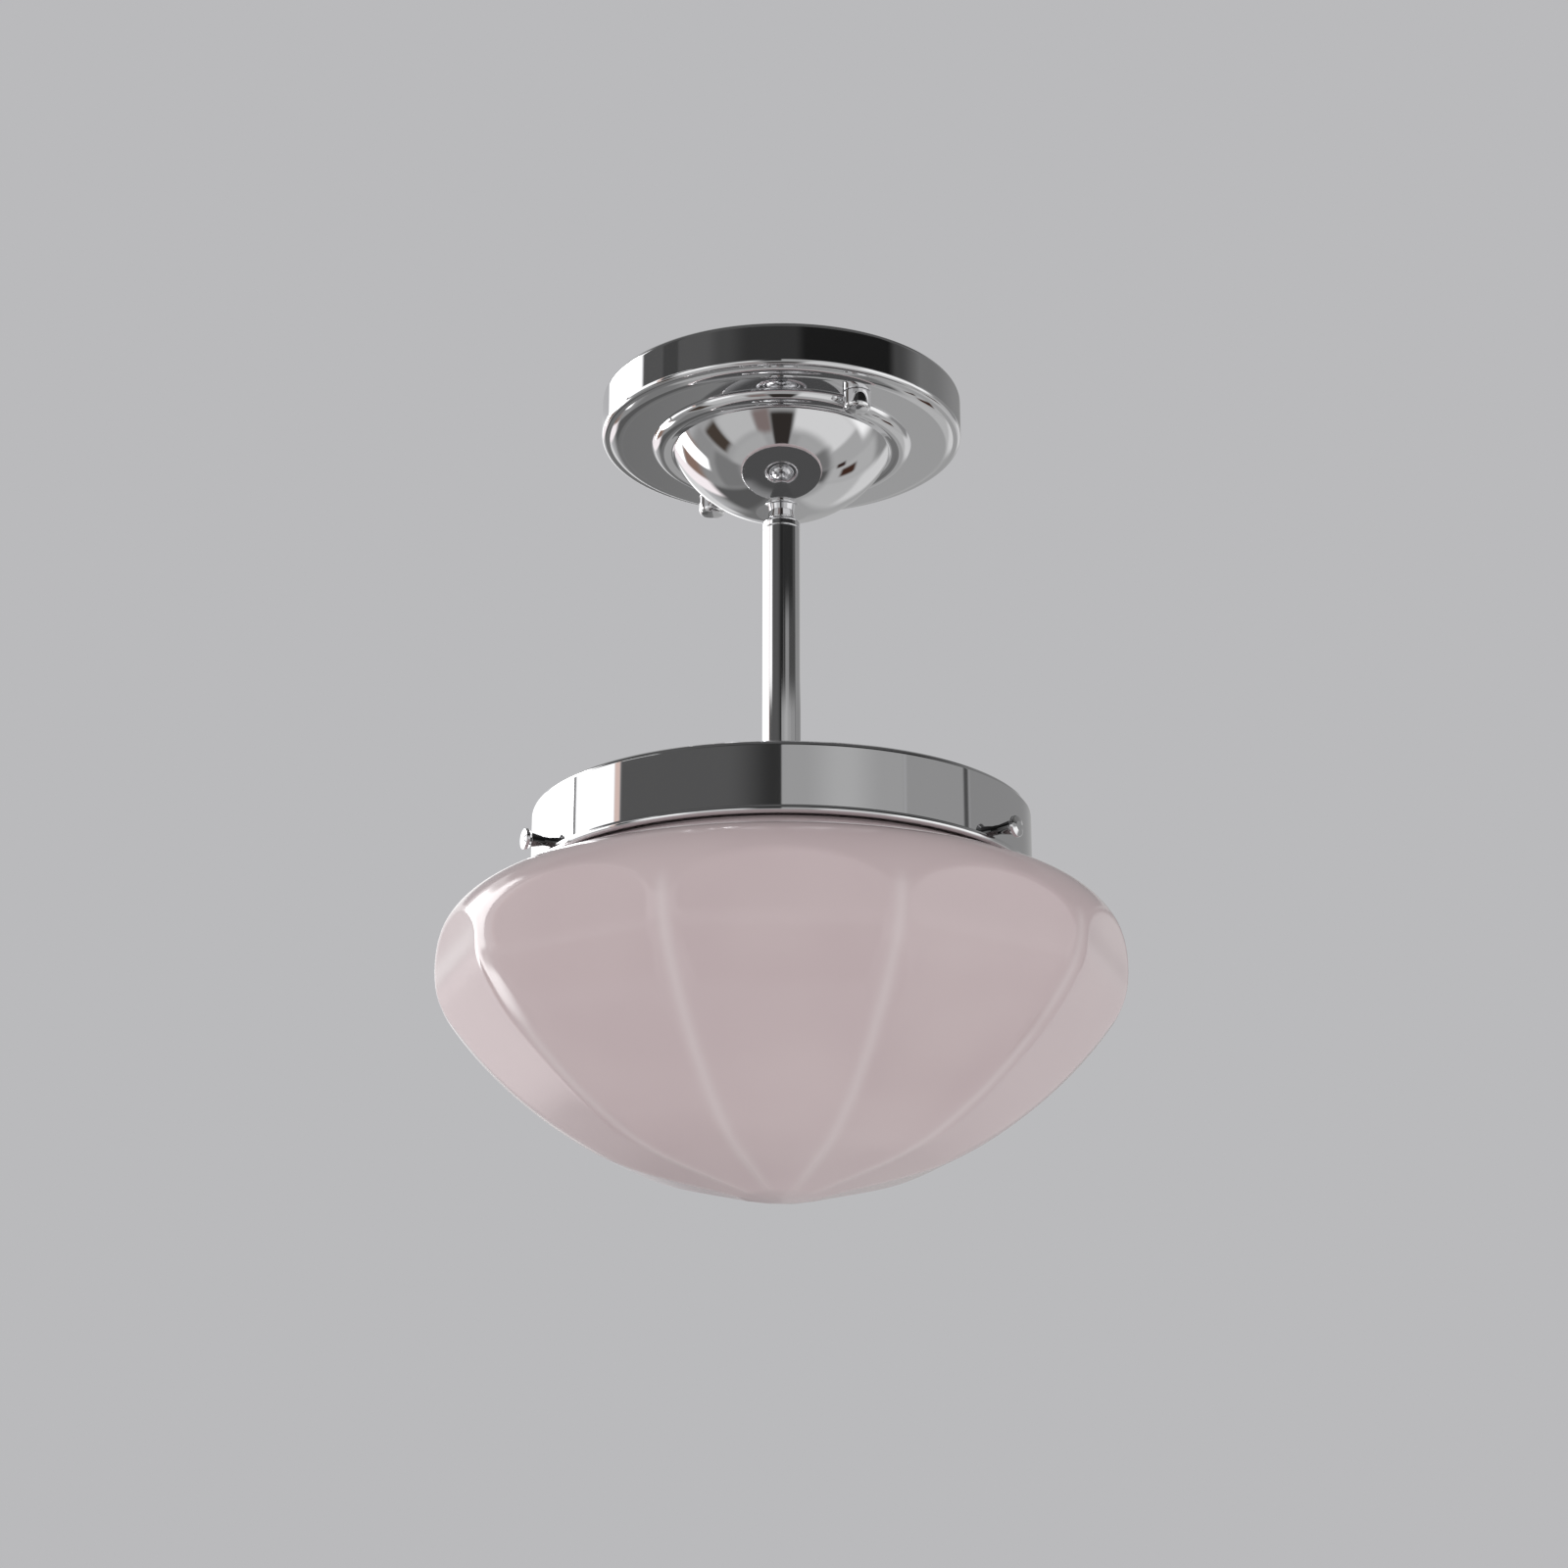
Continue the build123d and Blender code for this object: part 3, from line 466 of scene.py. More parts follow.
class Profile:
    """Half section of a turned piece, in millimetres of radius and height, built by chained calls."""

    def __init__(self) -> None:
        """Starts with no corners."""
        self.corners: list[tuple[float, float, float]] = []

    def corner(self, radius: float, height: float, round_off: float = 0.0) -> Profile:
        """Adds a corner, which may be rounded with a radius."""
        self.corners.append((radius, height, round_off))
        return self

    def arc(self, centre: Point, radius: float, start: float, end: float, steps: int = 10) -> Profile:
        """Adds an arc.

        Args:
            centre: Centre of the arc.
            radius: Its radius.
            start: Angle where it starts, in degrees from the outward direction.
            end: Angle where it ends.
            steps: Number of straight pieces.

        Returns:
            The profile.
        """
        for angle in np.radians(np.linspace(start, end, steps + 1)):
            self.corner(centre[0] + radius * math.cos(angle), centre[1] + radius * math.sin(angle))
        return self

    def bow(self, radius: float, height: float, bulge: float, steps: int = 10) -> Profile:
        """Adds an arc from the last corner to a new one.

        Args:
            radius: Distance of the new corner from the axis.
            height: Its height.
            bulge: Rise of the arc to the left of the way from corner to corner.
            steps: Number of straight pieces.

        Returns:
            The profile.
        """
        start = np.array(self.corners[-1][:2])
        end = np.array((radius, height))
        along = end - start
        chord = float(np.linalg.norm(along))
        left = np.array((-along[1], along[0])) / chord
        size = chord**2 / (8 * bulge) + bulge / 2
        centre = (start + end) / 2 - left * (size - bulge)
        half = math.asin(chord / 2 / size)
        for turn in np.linspace(half, -half, steps + 1)[1:]:
            place = centre + size * (left * math.cos(turn) - along / chord * math.sin(turn))
            self.corner(float(place[0]), float(place[1]))
        return self

    def points(self, closed: bool) -> np.ndarray:
        """Works out the section's points, with its corners rounded.

        Args:
            closed: Whether the section is a loop, or a line from pole to pole.

        Returns:
            Rows of radius and height, in metres.
        """
        places = np.array([corner[:2] for corner in self.corners])
        count = len(places)
        result: list[np.ndarray] = []
        for index, (here, corner) in enumerate(zip(places, self.corners)):
            round_off = corner[2]
            inner = closed or 0 < index < count - 1
            if round_off <= 0 or not inner:
                result.append(here)
                continue
            before = places[index - 1] - here
            after = places[(index + 1) % count] - here
            result.extend(rounded(here, before, after, round_off))
        return np.array(result) * MM


def rounded(corner: np.ndarray, before: np.ndarray, after: np.ndarray, radius: float,
            steps: int = 6) -> list[np.ndarray]:
    """Rounds one corner with an arc that is tangent to both its sides.

    Args:
        corner: The corner's place.
        before: Vector to the previous corner.
        after: Vector to the next corner.
        radius: Radius of the arc.
        steps: Number of straight pieces.

    Returns:
        Points of the arc, with a short straight on each side that keeps the sides flat in the light.
    """
    first = before / np.linalg.norm(before)
    second = after / np.linalg.norm(after)
    half = math.acos(float(np.clip(first @ second, -1.0, 1.0))) / 2
    bisector = first + second
    if np.linalg.norm(bisector) < TINY or half < FOLDED:
        return [corner]
    centre = corner + bisector / np.linalg.norm(bisector) * radius / math.sin(half)
    start = corner + first * radius / math.tan(half) - centre
    sweep = math.pi - 2 * half
    sign = 1.0 if start[0] * second[1] - start[1] * second[0] > 0 else -1.0
    points = []
    for step in range(steps + 1):
        angle = sign * sweep * step / steps
        turn = np.array([[math.cos(angle), -math.sin(angle)], [math.sin(angle), math.cos(angle)]])
        points.append(centre + turn @ start)
    reach = radius / math.tan(half) + GUARD
    if reach < np.linalg.norm(before) / 2:
        points.insert(0, corner + first * reach)
    if reach < np.linalg.norm(after) / 2:
        points.append(corner + second * reach)
    return points


def smooth_line(points: np.ndarray, samples: int = 400) -> np.ndarray:
    """Cubic line through a row of points, straight at both ends.

    Args:
        points: Points that the line runs through.
        samples: Points to return.

    Returns:
        Points along the line.
    """
    knots = np.concatenate([[0.0], np.cumsum(np.linalg.norm(np.diff(points, axis=0), axis=1))])
    steps = np.diff(knots)[:, None]
    slopes = np.diff(points, axis=0) / steps
    count = len(points)
    matrix = np.eye(count)
    right = np.zeros_like(points)
    for row in range(1, count - 1):
        first, second = float(steps[row - 1, 0]), float(steps[row, 0])
        matrix[row, row - 1:row + 2] = first, 2 * (first + second), second
        right[row] = 6 * (slopes[row] - slopes[row - 1])
    bends = np.linalg.solve(matrix, right)
    places = np.linspace(0.0, knots[-1], samples)
    piece = np.clip(np.searchsorted(knots, places) - 1, 0, count - 2)
    after = (places - knots[piece])[:, None]
    step = steps[piece]
    start = slopes[piece] - step * (2 * bends[piece] + bends[piece + 1]) / 6
    turn = (bends[piece + 1] - bends[piece]) / (6 * step)
    return points[piece] + start * after + bends[piece] / 2 * after**2 + turn * after**3


def shell(outer: np.ndarray, wall: float) -> np.ndarray:
    """Gives a line of points an even wall on the right of its way.

    Args:
        outer: Rows of radius and height.
        wall: Thickness of the wall, in the same unit.

    Returns:
        The closed section.
    """
    ways = np.diff(outer, axis=0)
    ways /= np.linalg.norm(ways, axis=1)[:, None]
    before = np.vstack([ways[:1], ways])
    after = np.vstack([ways, ways[-1:]])
    sides = np.stack([before[:, 1] + after[:, 1], -before[:, 0] - after[:, 0]], 1)
    sides /= np.linalg.norm(sides, axis=1)[:, None]
    squint = np.einsum("ij,ij->i", sides, np.stack([after[:, 1], -after[:, 0]], 1))
    inner = outer + sides * (wall / squint)[:, None]
    return np.vstack([outer, inner[::-1]])


def turned_mesh(name: str, section: np.ndarray, closed: bool, turn: int | np.ndarray) -> Mesh:
    """Turns a half section about the Z axis.

    Args:
        name: Name of the mesh.
        section: Rows of radius and height, in metres.
        closed: Whether the section is a loop; otherwise its ends lie on the axis.
        turn: Copies of the section round the axis, or the angles where they stand.

    Returns:
        A closed mesh with outward faces, smooth shading and sharp corners.
    """
    angles = np.linspace(0, 2 * math.pi, turn, endpoint=False) if isinstance(turn, int) else turn
    steps = len(angles)
    rows: list[list[int]] = []
    vertices: list[tuple[float, float, float]] = []
    for radius, height in section:
        if radius < ON_AXIS:
            rows.append([len(vertices)] * steps)
            vertices.append((0.0, 0.0, height))
            continue
        rows.append(list(range(len(vertices), len(vertices) + steps)))
        vertices.extend((radius * math.cos(angle), radius * math.sin(angle), height) for angle in angles)
    pairs = list(zip(rows, rows[1:])) + ([(rows[-1], rows[0])] if closed else [])
    faces = []
    for upper, lower in pairs:
        for step in range(steps):
            after = (step + 1) % steps
            corners = [upper[step], upper[after], lower[after], lower[step]]
            faces.append(tuple(dict.fromkeys(corners)))
    mesh = bpy.data.meshes.new(name)
    mesh.from_pydata(vertices, [], faces)
    mesh.update()
    if signed_volume(mesh) < 0:
        mesh.flip_normals()
    shade(mesh)
    return mesh


def shade(mesh: Mesh) -> None:
    """Shades a mesh smoothly between its sharp corners."""
    mesh.shade_smooth()
    mesh.set_sharp_from_angle(angle=math.radians(SHARP))


def vertex_places(mesh: Mesh) -> np.ndarray:
    """Reads where a mesh's vertices are.

    Args:
        mesh: Mesh to read.

    Returns:
        Rows of X, Y and Z in metres.
    """
    places = np.zeros(len(mesh.vertices) * 3)
    mesh.vertices.foreach_get("co", places)
    return places.reshape(-1, 3)


def signed_volume(mesh: Mesh) -> float:
    """Works out the volume of a closed mesh.

    Args:
        mesh: Mesh to measure.

    Returns:
        The volume, negative where the faces point inwards.
    """
    mesh.calc_loop_triangles()
    corners = np.zeros(len(mesh.loop_triangles) * 3, np.int32)
    mesh.loop_triangles.foreach_get("vertices", corners)
    a, b, c = vertex_places(mesh)[corners.reshape(-1, 3)].transpose(1, 0, 2)
    return float(np.einsum("ij,ij->i", a, np.cross(b, c)).sum() / 6)


def mark_points(mesh: Mesh, name: str, values: np.ndarray) -> None:
    """Gives each vertex of a mesh a number that nodes can read."""
    layer = mesh.attributes.new(name, "FLOAT", "POINT")
    layer.data.foreach_set("value", values.astype(np.float32))


def add_piece(mesh: Mesh, body: Body, node: str, material: Material | None = None) -> None:
    """Puts a finished mesh into the scene as a piece of the light.

    Args:
        mesh: Mesh in its final place.
        body: Body that the piece moves with.
        node: CAD node that the piece stands for.
        material: Finish, or None where the mesh already has it.
    """
    piece = bpy.data.objects.new(mesh.name, mesh)
    bpy.context.scene.collection.objects.link(piece)
    if material is not None:
        mesh.materials.append(material)
    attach(piece, body.value)
    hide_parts(node)
    LOG.info("piece %s rides on %s", piece.name, body.value)


@dataclass
class Canopy:
    """Spun canopy with its curled rim, rounded step, flat, shoulder and dome."""

    radius: float = 60.2
    wall: float = 1.0
    curl: float = 2.0
    curl_land: float = 0.6
    rim_level: float = -15.0
    rim_edge: float = 1.6
    step_outer: float = 57.6
    step_bulge: float = 0.5
    flat_outer: float = 53.4
    flat_inner: float = 43.5
    flat_level: float = -16.5
    shoulder_inner: float = 38.1
    shoulder_level: float = -19.0
    shoulder_bulge: float = 1.3
    shoulder_steps: int = 16
    dome_radius: float = 36.6
    dome_flat: float = 8.6
    dome_level: float = -40.0
    dome_steps: int = 48
    hole_radius: float = 4.05
    stud_count: int = 2
    stud_hole: float = 2.3
    stud_circle: float = 48.45
    stud_turn: float = -60.0
    drill_length: float = 4.0

    def section(self) -> np.ndarray:
        """Draws the outer line of the canopy.

        Returns:
            Points from the ceiling edge to the hole in the dome, in metres.
        """
        curl_radius = self.radius - self.curl
        squares = self.dome_flat**2 + self.dome_level**2 - self.dome_radius**2 - self.shoulder_level**2
        centre = squares / (2 * (self.dome_level - self.shoulder_level))
        sphere = math.hypot(self.dome_flat, self.dome_level - centre)
        start = math.degrees(math.atan2(self.shoulder_level - centre, self.dome_radius))
        end = math.degrees(math.atan2(self.dome_level - centre, self.dome_flat))
        line = Profile().corner(curl_radius - self.curl_land, 0.0)
        line.arc((curl_radius, -self.curl), self.curl, 90, 0).corner(self.radius, -self.curl - GUARD)
        line.corner(self.radius, self.rim_level, self.rim_edge).corner(self.step_outer, self.rim_level)
        line.bow(self.flat_outer, self.flat_level, self.step_bulge)
        line.corner(self.flat_outer - GUARD, self.flat_level).corner(self.flat_inner, self.flat_level)
        line.bow(self.shoulder_inner, self.shoulder_level, self.shoulder_bulge, self.shoulder_steps)
        line.arc((0, centre), sphere, start, end, self.dome_steps)
        line.corner(self.dome_flat - GUARD, self.dome_level).corner(self.hole_radius, self.dome_level)
        return line.points(False)

    def build(self, material: Material) -> None:
        """Builds and dresses the canopy.

        Args:
            material: Its finish.
        """
        blank = turned_mesh("canopy_blank", shell(self.section(), self.wall * MM), True, WIDE_TURN)
        mesh = drilled("dressed_canopy", blank, material, {
            "Hole Count": self.stud_count,
            "First Hole": math.radians(self.stud_turn),
            "Hole Radius": self.stud_hole * MM,
            "Hole Circle": self.stud_circle * MM,
            "Hole Level": self.flat_level * MM,
            "Hole Length": self.drill_length * MM,
        })
        add_piece(mesh, Body.FIXTURE, "canopy")


@dataclass
class CapNuts:
    """Domed cap nuts that hold the canopy on its studs."""

    circle: float = 48.45
    turn: float = -60.0
    radius: float = 4.5
    top: float = -16.55
    top_edge: float = 0.35
    side: float = 4.3
    edge: float = 1.6
    crown: float = 0.8
    crown_round: float = 2.0
    crown_bend: Point = (0.4, 0.75)
    bore: float = 2.05
    bore_edge: float = 0.3
    bore_depth: float = 5.15

    def build(self, material: Material) -> None:
        """Builds and dresses both nuts.

        Args:
            material: Their finish.
        """
        bore_end = self.top - self.bore_depth
        bottom = self.top - self.side - self.edge
        bend_out, bend_down = self.crown_bend
        profile = Profile().corner(0, bore_end).corner(self.bore, bore_end)
        profile.corner(self.bore, self.top, self.bore_edge).corner(self.radius, self.top, self.top_edge)
        profile.corner(self.radius, bottom, self.edge)
        profile.corner(self.radius * bend_out, bottom - bend_down * self.crown, self.crown_round)
        profile.corner(0, bottom - self.crown)
        section = profile.points(False)
        circle = self.circle * MM
        for body, angle in ((Body.CAP_NUT_FRONT, self.turn), (Body.CAP_NUT_REAR, self.turn + 180)):
            mesh = turned_mesh(f"dressed_{body.value}", section, False, SMALL_TURN)
            spot = math.radians(angle)
            mesh.transform(Matrix.Translation((circle * math.cos(spot), circle * math.sin(spot), 0)))
            add_piece(mesh, body, body.value, material)


@dataclass
class Stem:
    """Stem tube with its slim neck and rounded head."""

    radius: float = 6.25
    wall: float = 1.0
    head_bottom: float = -46.5
    bottom: float = -147.4
    neck_top_radius: float = 4.15
    neck_radius: float = 4.6
    neck_top: float = -40.0
    neck_bottom: float = -42.7
    neck_edge: float = 0.1
    groove_radius: float = 4.2
    groove_edge: float = 0.2
    head_top: float = -43.0
    head_round: float = 1.5
    spigot_radius: float = 4.0
    spigot_top: float = -31.8
    bore: float = 3.0
    plug_radius: float = 5.23
    plug_bottom: float = -58.5
    end_edge: float = 0.4
    seam: float = 0.25

    def build(self, material: Material) -> None:
        """Builds and dresses the tube and its top end.

        Args:
            material: Their finish.
        """
        inner = self.radius - self.wall
        tube = Profile().corner(self.radius, self.head_bottom, self.seam).corner(self.radius, self.bottom)
        tube.corner(inner, self.bottom).corner(inner, self.head_bottom)

        end = Profile().corner(self.spigot_radius, self.spigot_top, self.end_edge)
        end.corner(self.spigot_radius, self.neck_top)
        end.corner(self.neck_top_radius, self.neck_top, self.neck_edge)
        end.corner(self.neck_radius, self.neck_bottom, self.groove_edge)
        end.corner(self.groove_radius, self.neck_bottom).corner(self.groove_radius, self.head_top)
        end.corner(self.neck_radius, self.head_top, self.neck_edge)
        end.corner(self.radius, self.head_top - self.head_round / 2, self.head_round)
        end.corner(self.radius, self.head_bottom, self.seam).corner(self.plug_radius, self.head_bottom)
        end.corner(self.plug_radius, self.plug_bottom, self.end_edge).corner(self.bore, self.plug_bottom)
        end.corner(self.bore, self.spigot_top)

        for node, profile in (("stem", tube), ("stem_top_end", end)):
            mesh = turned_mesh(f"dressed_{node}", profile.points(True), True, SLIM_TURN)
            add_piece(mesh, Body.FIXTURE, node, material)


@dataclass
class Gallery:
    """Gallery that carries the glass: flat plate, round wall and rolled bead."""

    radius: float = 80.0
    wall: float = 1.0
    top: float = -147.4
    edge: float = 1.5
    inner_edge: float = 0.6
    bead_radius: float = 1.3
    bead_centre: float = 79.3
    bead_level: float = -168.6
    bead_steps: int = 24
    hole_radius: float = 5.05
    hole_edge: float = 0.2
    screw_count: int = 3
    screw_hole: float = 1.55
    screw_level: float = -165.0
    screw_turn: float = -155.0
    drill_length: float = 6.0

    def build(self, material: Material) -> None:
        """Builds and dresses the gallery.

        Args:
            material: Its finish.
        """
        inner = self.radius - self.wall
        under = self.top - self.wall
        rise = math.degrees(math.acos((self.radius - self.bead_centre) / self.bead_radius))
        fall = 180 - math.degrees(math.acos((self.bead_centre - inner) / self.bead_radius))
        bead_top = self.bead_level + self.bead_radius
        profile = Profile().corner(self.hole_radius, self.top, self.hole_edge)
        profile.corner(self.radius, self.top, self.edge).corner(self.radius, bead_top)
        profile.arc(
            (self.bead_centre, self.bead_level), self.bead_radius, rise, -(360 - fall), self.bead_steps)
        profile.corner(inner, bead_top)
        profile.corner(inner, under, self.inner_edge).corner(self.hole_radius, under, self.hole_edge)
        blank = turned_mesh("gallery_blank", profile.points(True), True, WIDE_TURN)
        mesh = drilled("dressed_gallery", blank, material, {
            "Hole Count": self.screw_count,
            "First Hole": math.radians(self.screw_turn),
            "Hole Radius": self.screw_hole * MM,
            "Hole Circle": self.radius * MM,
            "Hole Level": self.screw_level * MM,
            "Hole Length": self.drill_length * MM,
            "Lean": 1.0,
        })
        add_piece(mesh, Body.FIXTURE, "gallery")


@dataclass
class ThumbScrews:
    """Three thumb screws with trumpet heads that hold the glass in the gallery."""

    level: float = -165.0
    angles: tuple[float, float, float] = (-155.0, -35.0, 85.0)
    shank: float = 1.5
    tip: float = 72.6
    flare_start: float = 81.2
    flare_end: float = 86.6
    flare: float = 2.3
    flare_round: float = 4.0
    flare_edge: float = 0.5
    head: float = 3.35
    head_thickness: float = 1.0
    head_back_edge: float = 0.15
    end_edge: float = 0.4
    crown: float = 0.6
    crown_round: float = 1.0
    crown_bend: Point = (0.45, 0.8)
    # Where the painted thread shade ends near the head, and over what length it fades
    thread_end: float = 86.2
    thread_shade_fade: float = 1.2

    def build(self, material: Material) -> None:
        """Builds and dresses the screws.

        Args:
            material: Their finish.
        """
        face = self.flare_end + self.head_thickness
        flare_level = self.flare_end - (self.head - self.flare)
        bend_out, bend_up = self.crown_bend
        profile = Profile().corner(0, self.tip).corner(self.shank, self.tip, self.end_edge)
        profile.corner(self.shank, self.flare_start, self.flare_round)
        profile.corner(self.flare, flare_level, self.flare_edge)
        profile.corner(self.head, self.flare_end, self.head_back_edge)
        profile.corner(self.head, face, self.end_edge)
        profile.corner(self.head * bend_out, face + bend_up * self.crown, self.crown_round)
        profile.corner(0, face + self.crown)
        section = profile.points(False)
        lie_down = Matrix.Rotation(math.radians(90), 4, "Y")
        lift = Matrix.Translation((0, 0, self.level * MM))
        for body, angle in zip((Body.SCREW_LEFT, Body.SCREW_RIGHT, Body.SCREW_REAR), self.angles):
            mesh = turned_mesh(f"dressed_{body.value}", section, False, SMALL_TURN)
            # Marks the threaded shank for the painted thread shade, fading out just before the head
            along = vertex_places(mesh)[:, 2] / MM
            mark_points(mesh, "painted_thread_shade", np.clip((self.thread_end - along) / self.thread_shade_fade, 0.0, 1.0))
            mesh.transform(lift @ Matrix.Rotation(math.radians(angle), 4, "Z") @ lie_down)
            add_piece(mesh, body, body.value, material)


@dataclass
class GlassShade:
    """Lipped opal bowl whose flats are pressed into a turned body."""

    radius: float = 109.5
    equator: float = -198.66
    shoulder_arc: float = 22.8
    cone_slope: float = 23.0
    lower_arc: float = 27.7
    flank_slope: float = 53.7
    flank_arc: float = 140.0
    tip_slope: float = 26.0
    wall: float = 3.0
    neck: float = 72.3
    neck_fillet: float = 1.9
    lip_width: float = 3.2
    lip_bottom: float = -163.2
    lip_top: float = -156.5
    lip_round: float = 1.2
    lip_under_round: float = 0.8
    flat_count: int = 10
    first_flat: float = -90.0
    flat_depth: float = 4.1
    flat_rise: float = 9.9
    flat_end: float = 12.0
    ridge_softness: float = 0.7
    # Width of the painted highlight along the ridges, and where it fades out on the shoulder and near the
    # tip
    ridge_highlight_width: float = 1.9
    highlight_fade_angle: float = 14.0
    highlight_fade_radius: float = 40.0
    arc_samples: tuple[int, int, int, int] = (26, 16, 30, 26)
    flat_steps: int = 40
    crowding: float = 1.6
    arcs: dict[str, tuple[np.ndarray, float]] = field(default_factory=dict)

    def __post_init__(self) -> None:
        """Works out the centres of the outline's tangent arcs."""
        lower_normal = self.normal(self.flank_slope - 90)
        tip_normal = self.normal(self.tip_slope - 90)
        shoulder = np.array((self.radius - self.shoulder_arc, self.equator))
        lower = np.array((self.radius - self.lower_arc, self.equator))
        flank = lower + lower_normal * (self.lower_arc - self.flank_arc)
        tip_arc = self.flank_arc + flank[0] / tip_normal[0]
        tip = flank + tip_normal * (self.flank_arc - tip_arc)
        self.arcs = {
            "shoulder": (shoulder, self.shoulder_arc), "lower": (lower, self.lower_arc),
            "flank": (flank, self.flank_arc), "tip": (tip, tip_arc),
        }

    @staticmethod
    def normal(angle: float) -> np.ndarray:
        """Unit vector in the section plane at an angle in degrees."""
        return np.array((math.cos(math.radians(angle)), math.sin(math.radians(angle))))

    def on_outline(self, angle: float, inset: float) -> np.ndarray:
        """Point of the glass outline with a given outward normal.

        Args:
            angle: Angle of the normal in degrees, negative below the equator.
            inset: Depth below the outer face.

        Returns:
            Radius and height.
        """
        if angle >= 0:
            arc = "shoulder"
        elif angle >= self.flank_slope - 90:
            arc = "lower"
        elif angle >= self.tip_slope - 90:
            arc = "flank"
        else:
            arc = "tip"
        centre, radius = self.arcs[arc]
        return centre + self.normal(angle) * (radius - inset)

    def flat_line(self, inset: float) -> np.ndarray:
        """Line down the middle of a flat, from above its arched top to just past the tip.

        Args:
            inset: Depth below the outer face.

        Returns:
            Rows of height and radius in millimetres, from the lowest up.
        """
        share = 1 - self.flat_depth / self.radius
        lower, tip = self.flank_slope - 90, self.tip_slope - 90
        top_angle = math.degrees(math.asin(self.flat_rise / self.shoulder_arc))
        end_angle = -math.degrees(math.acos(self.flat_end / self.arcs["tip"][1]))
        points = [self.on_outline(top_angle, inset)]
        for angle in (0, lower / 2, lower, (lower + tip) / 2, tip):
            points.append(self.on_outline(angle, 0) * (share, 1) - self.normal(angle) * inset)
        points.append(self.on_outline(end_angle, inset))
        past_tip = self.flat_end / self.on_outline(tip, 0)[0]
        before = 2 * points[0] - points[1]
        beyond = points[-1] + (points[-1] - points[-2]) * past_tip
        line = smooth_line(np.array([before, *points, beyond]))
        return line[::-1, ::-1]

    def section(self, inset: float) -> tuple[np.ndarray, np.ndarray, np.ndarray]:
        """Samples the turned body from its neck to the tip.

        Args:
            inset: Depth below the outer face.

        Returns:
            Points of the section, the flats' distance and the strength of the painted ridge highlight at
            each.
        """
        top_angle = 90 - self.cone_slope
        start = self.on_outline(top_angle, inset)
        neck = self.neck - inset
        corner = start[1] + (start[0] - neck) * math.tan(math.radians(self.cone_slope))
        upper = Profile().corner(neck, self.lip_bottom).corner(neck, corner, self.neck_fillet + inset)
        upper.corner(float(start[0]), float(start[1]))
        points = list(upper.points(False)[:-1] / MM)
        reach = [NO_FLAT] * len(points)
        ridge_highlights = [0.0] * len(points)
        joints = (top_angle, 0, self.flank_slope - 90, self.tip_slope - 90, -90)
        spans = zip(joints, joints[1:], self.arc_samples)
        parts = [np.linspace(first, last, samples)[:-1] for first, last, samples in spans]
        angles = np.concatenate([*parts, joints[-1:]])
        line = self.flat_line(inset)
        for angle in angles:
            place = self.on_outline(float(angle), inset)
            if angle == angles[-1]:
                place[0] = 0.0
            points.append(place)
            reach.append(float(np.interp(place[1], *line.T)) if place[1] < line[-1, 0] else NO_FLAT)
            # Painted ridge highlight: full strength below the shoulder, fading out on the shoulder and near
            # the tip
            below_top = np.clip(1 - angle / self.highlight_fade_angle, 0, 1)
            off_tip = np.clip(place[0] / self.highlight_fade_radius, 0, 1)
            ridge_highlights.append(float(below_top * off_tip))
        return np.array(points), np.array(reach), np.array(ridge_highlights)

    def angles(self) -> np.ndarray:
        """Spreads the sections round the axis.

        Returns:
            Their angles in radians, close together at the ridges.
        """
        even = np.linspace(-1, 1, self.flat_steps, endpoint=False)
        crowded = np.sign(even) * (1 - (1 - np.abs(even)) ** self.crowding)
        half = math.pi / self.flat_count
        middles = math.radians(self.first_flat) + 2 * half * np.arange(self.flat_count)
        return np.concatenate([middle + half * crowded for middle in middles])

    def blank(self) -> Mesh:
        """Turns the body before its flats are pressed.

        Returns:
            The body, with the sizes of its flats and the strength of its painted ridge highlight as mesh
            attributes.
        """
        outer, outer_reach, outer_ridge_highlight = self.section(0.0)
        inner, inner_reach, inner_ridge_highlight = self.section(self.wall)
        lip_radius = self.neck + self.lip_width
        rim = Profile().corner(*inner[0]).corner(self.neck - self.wall, self.lip_top, self.lip_round)
        rim.corner(lip_radius, self.lip_top, self.lip_round)
        rim.corner(lip_radius, self.lip_bottom, self.lip_under_round).corner(*outer[0])
        lip = rim.points(False)[1:-1] / MM
        section = np.concatenate([inner[::-1], lip, outer]) * MM
        reach = np.concatenate([inner_reach[::-1], np.full(len(lip), NO_FLAT), outer_reach])
        ridge_highlight = np.concatenate([inner_ridge_highlight[::-1], np.zeros(len(lip)), outer_ridge_highlight])
        angles = self.angles()
        mesh = turned_mesh("glass_blank", section, False, angles)
        counts = [1 if radius < ON_AXIS else len(angles) for radius in section[:, 0]]
        for name, values in (("flat_reach", reach * MM), ("ridge_highlight_strength", ridge_highlight)):
            mark_points(mesh, name, np.repeat(values, counts))
        return mesh

    def build(self, material: Material) -> None:
        """Presses the flats and dresses the glass.

        Args:
            material: Its finish.
        """
        mesh = apply_group("dressed_glass_shade", self.blank(), pressed_flats(material), {
            "Flat Count": self.flat_count,
            "First Flat": math.radians(self.first_flat),
            "Ridge Softness": self.ridge_softness * MM,
            "Ridge Highlight Width": self.ridge_highlight_width * MM,
        })
        add_piece(mesh, Body.FIXTURE, "glass_shade")


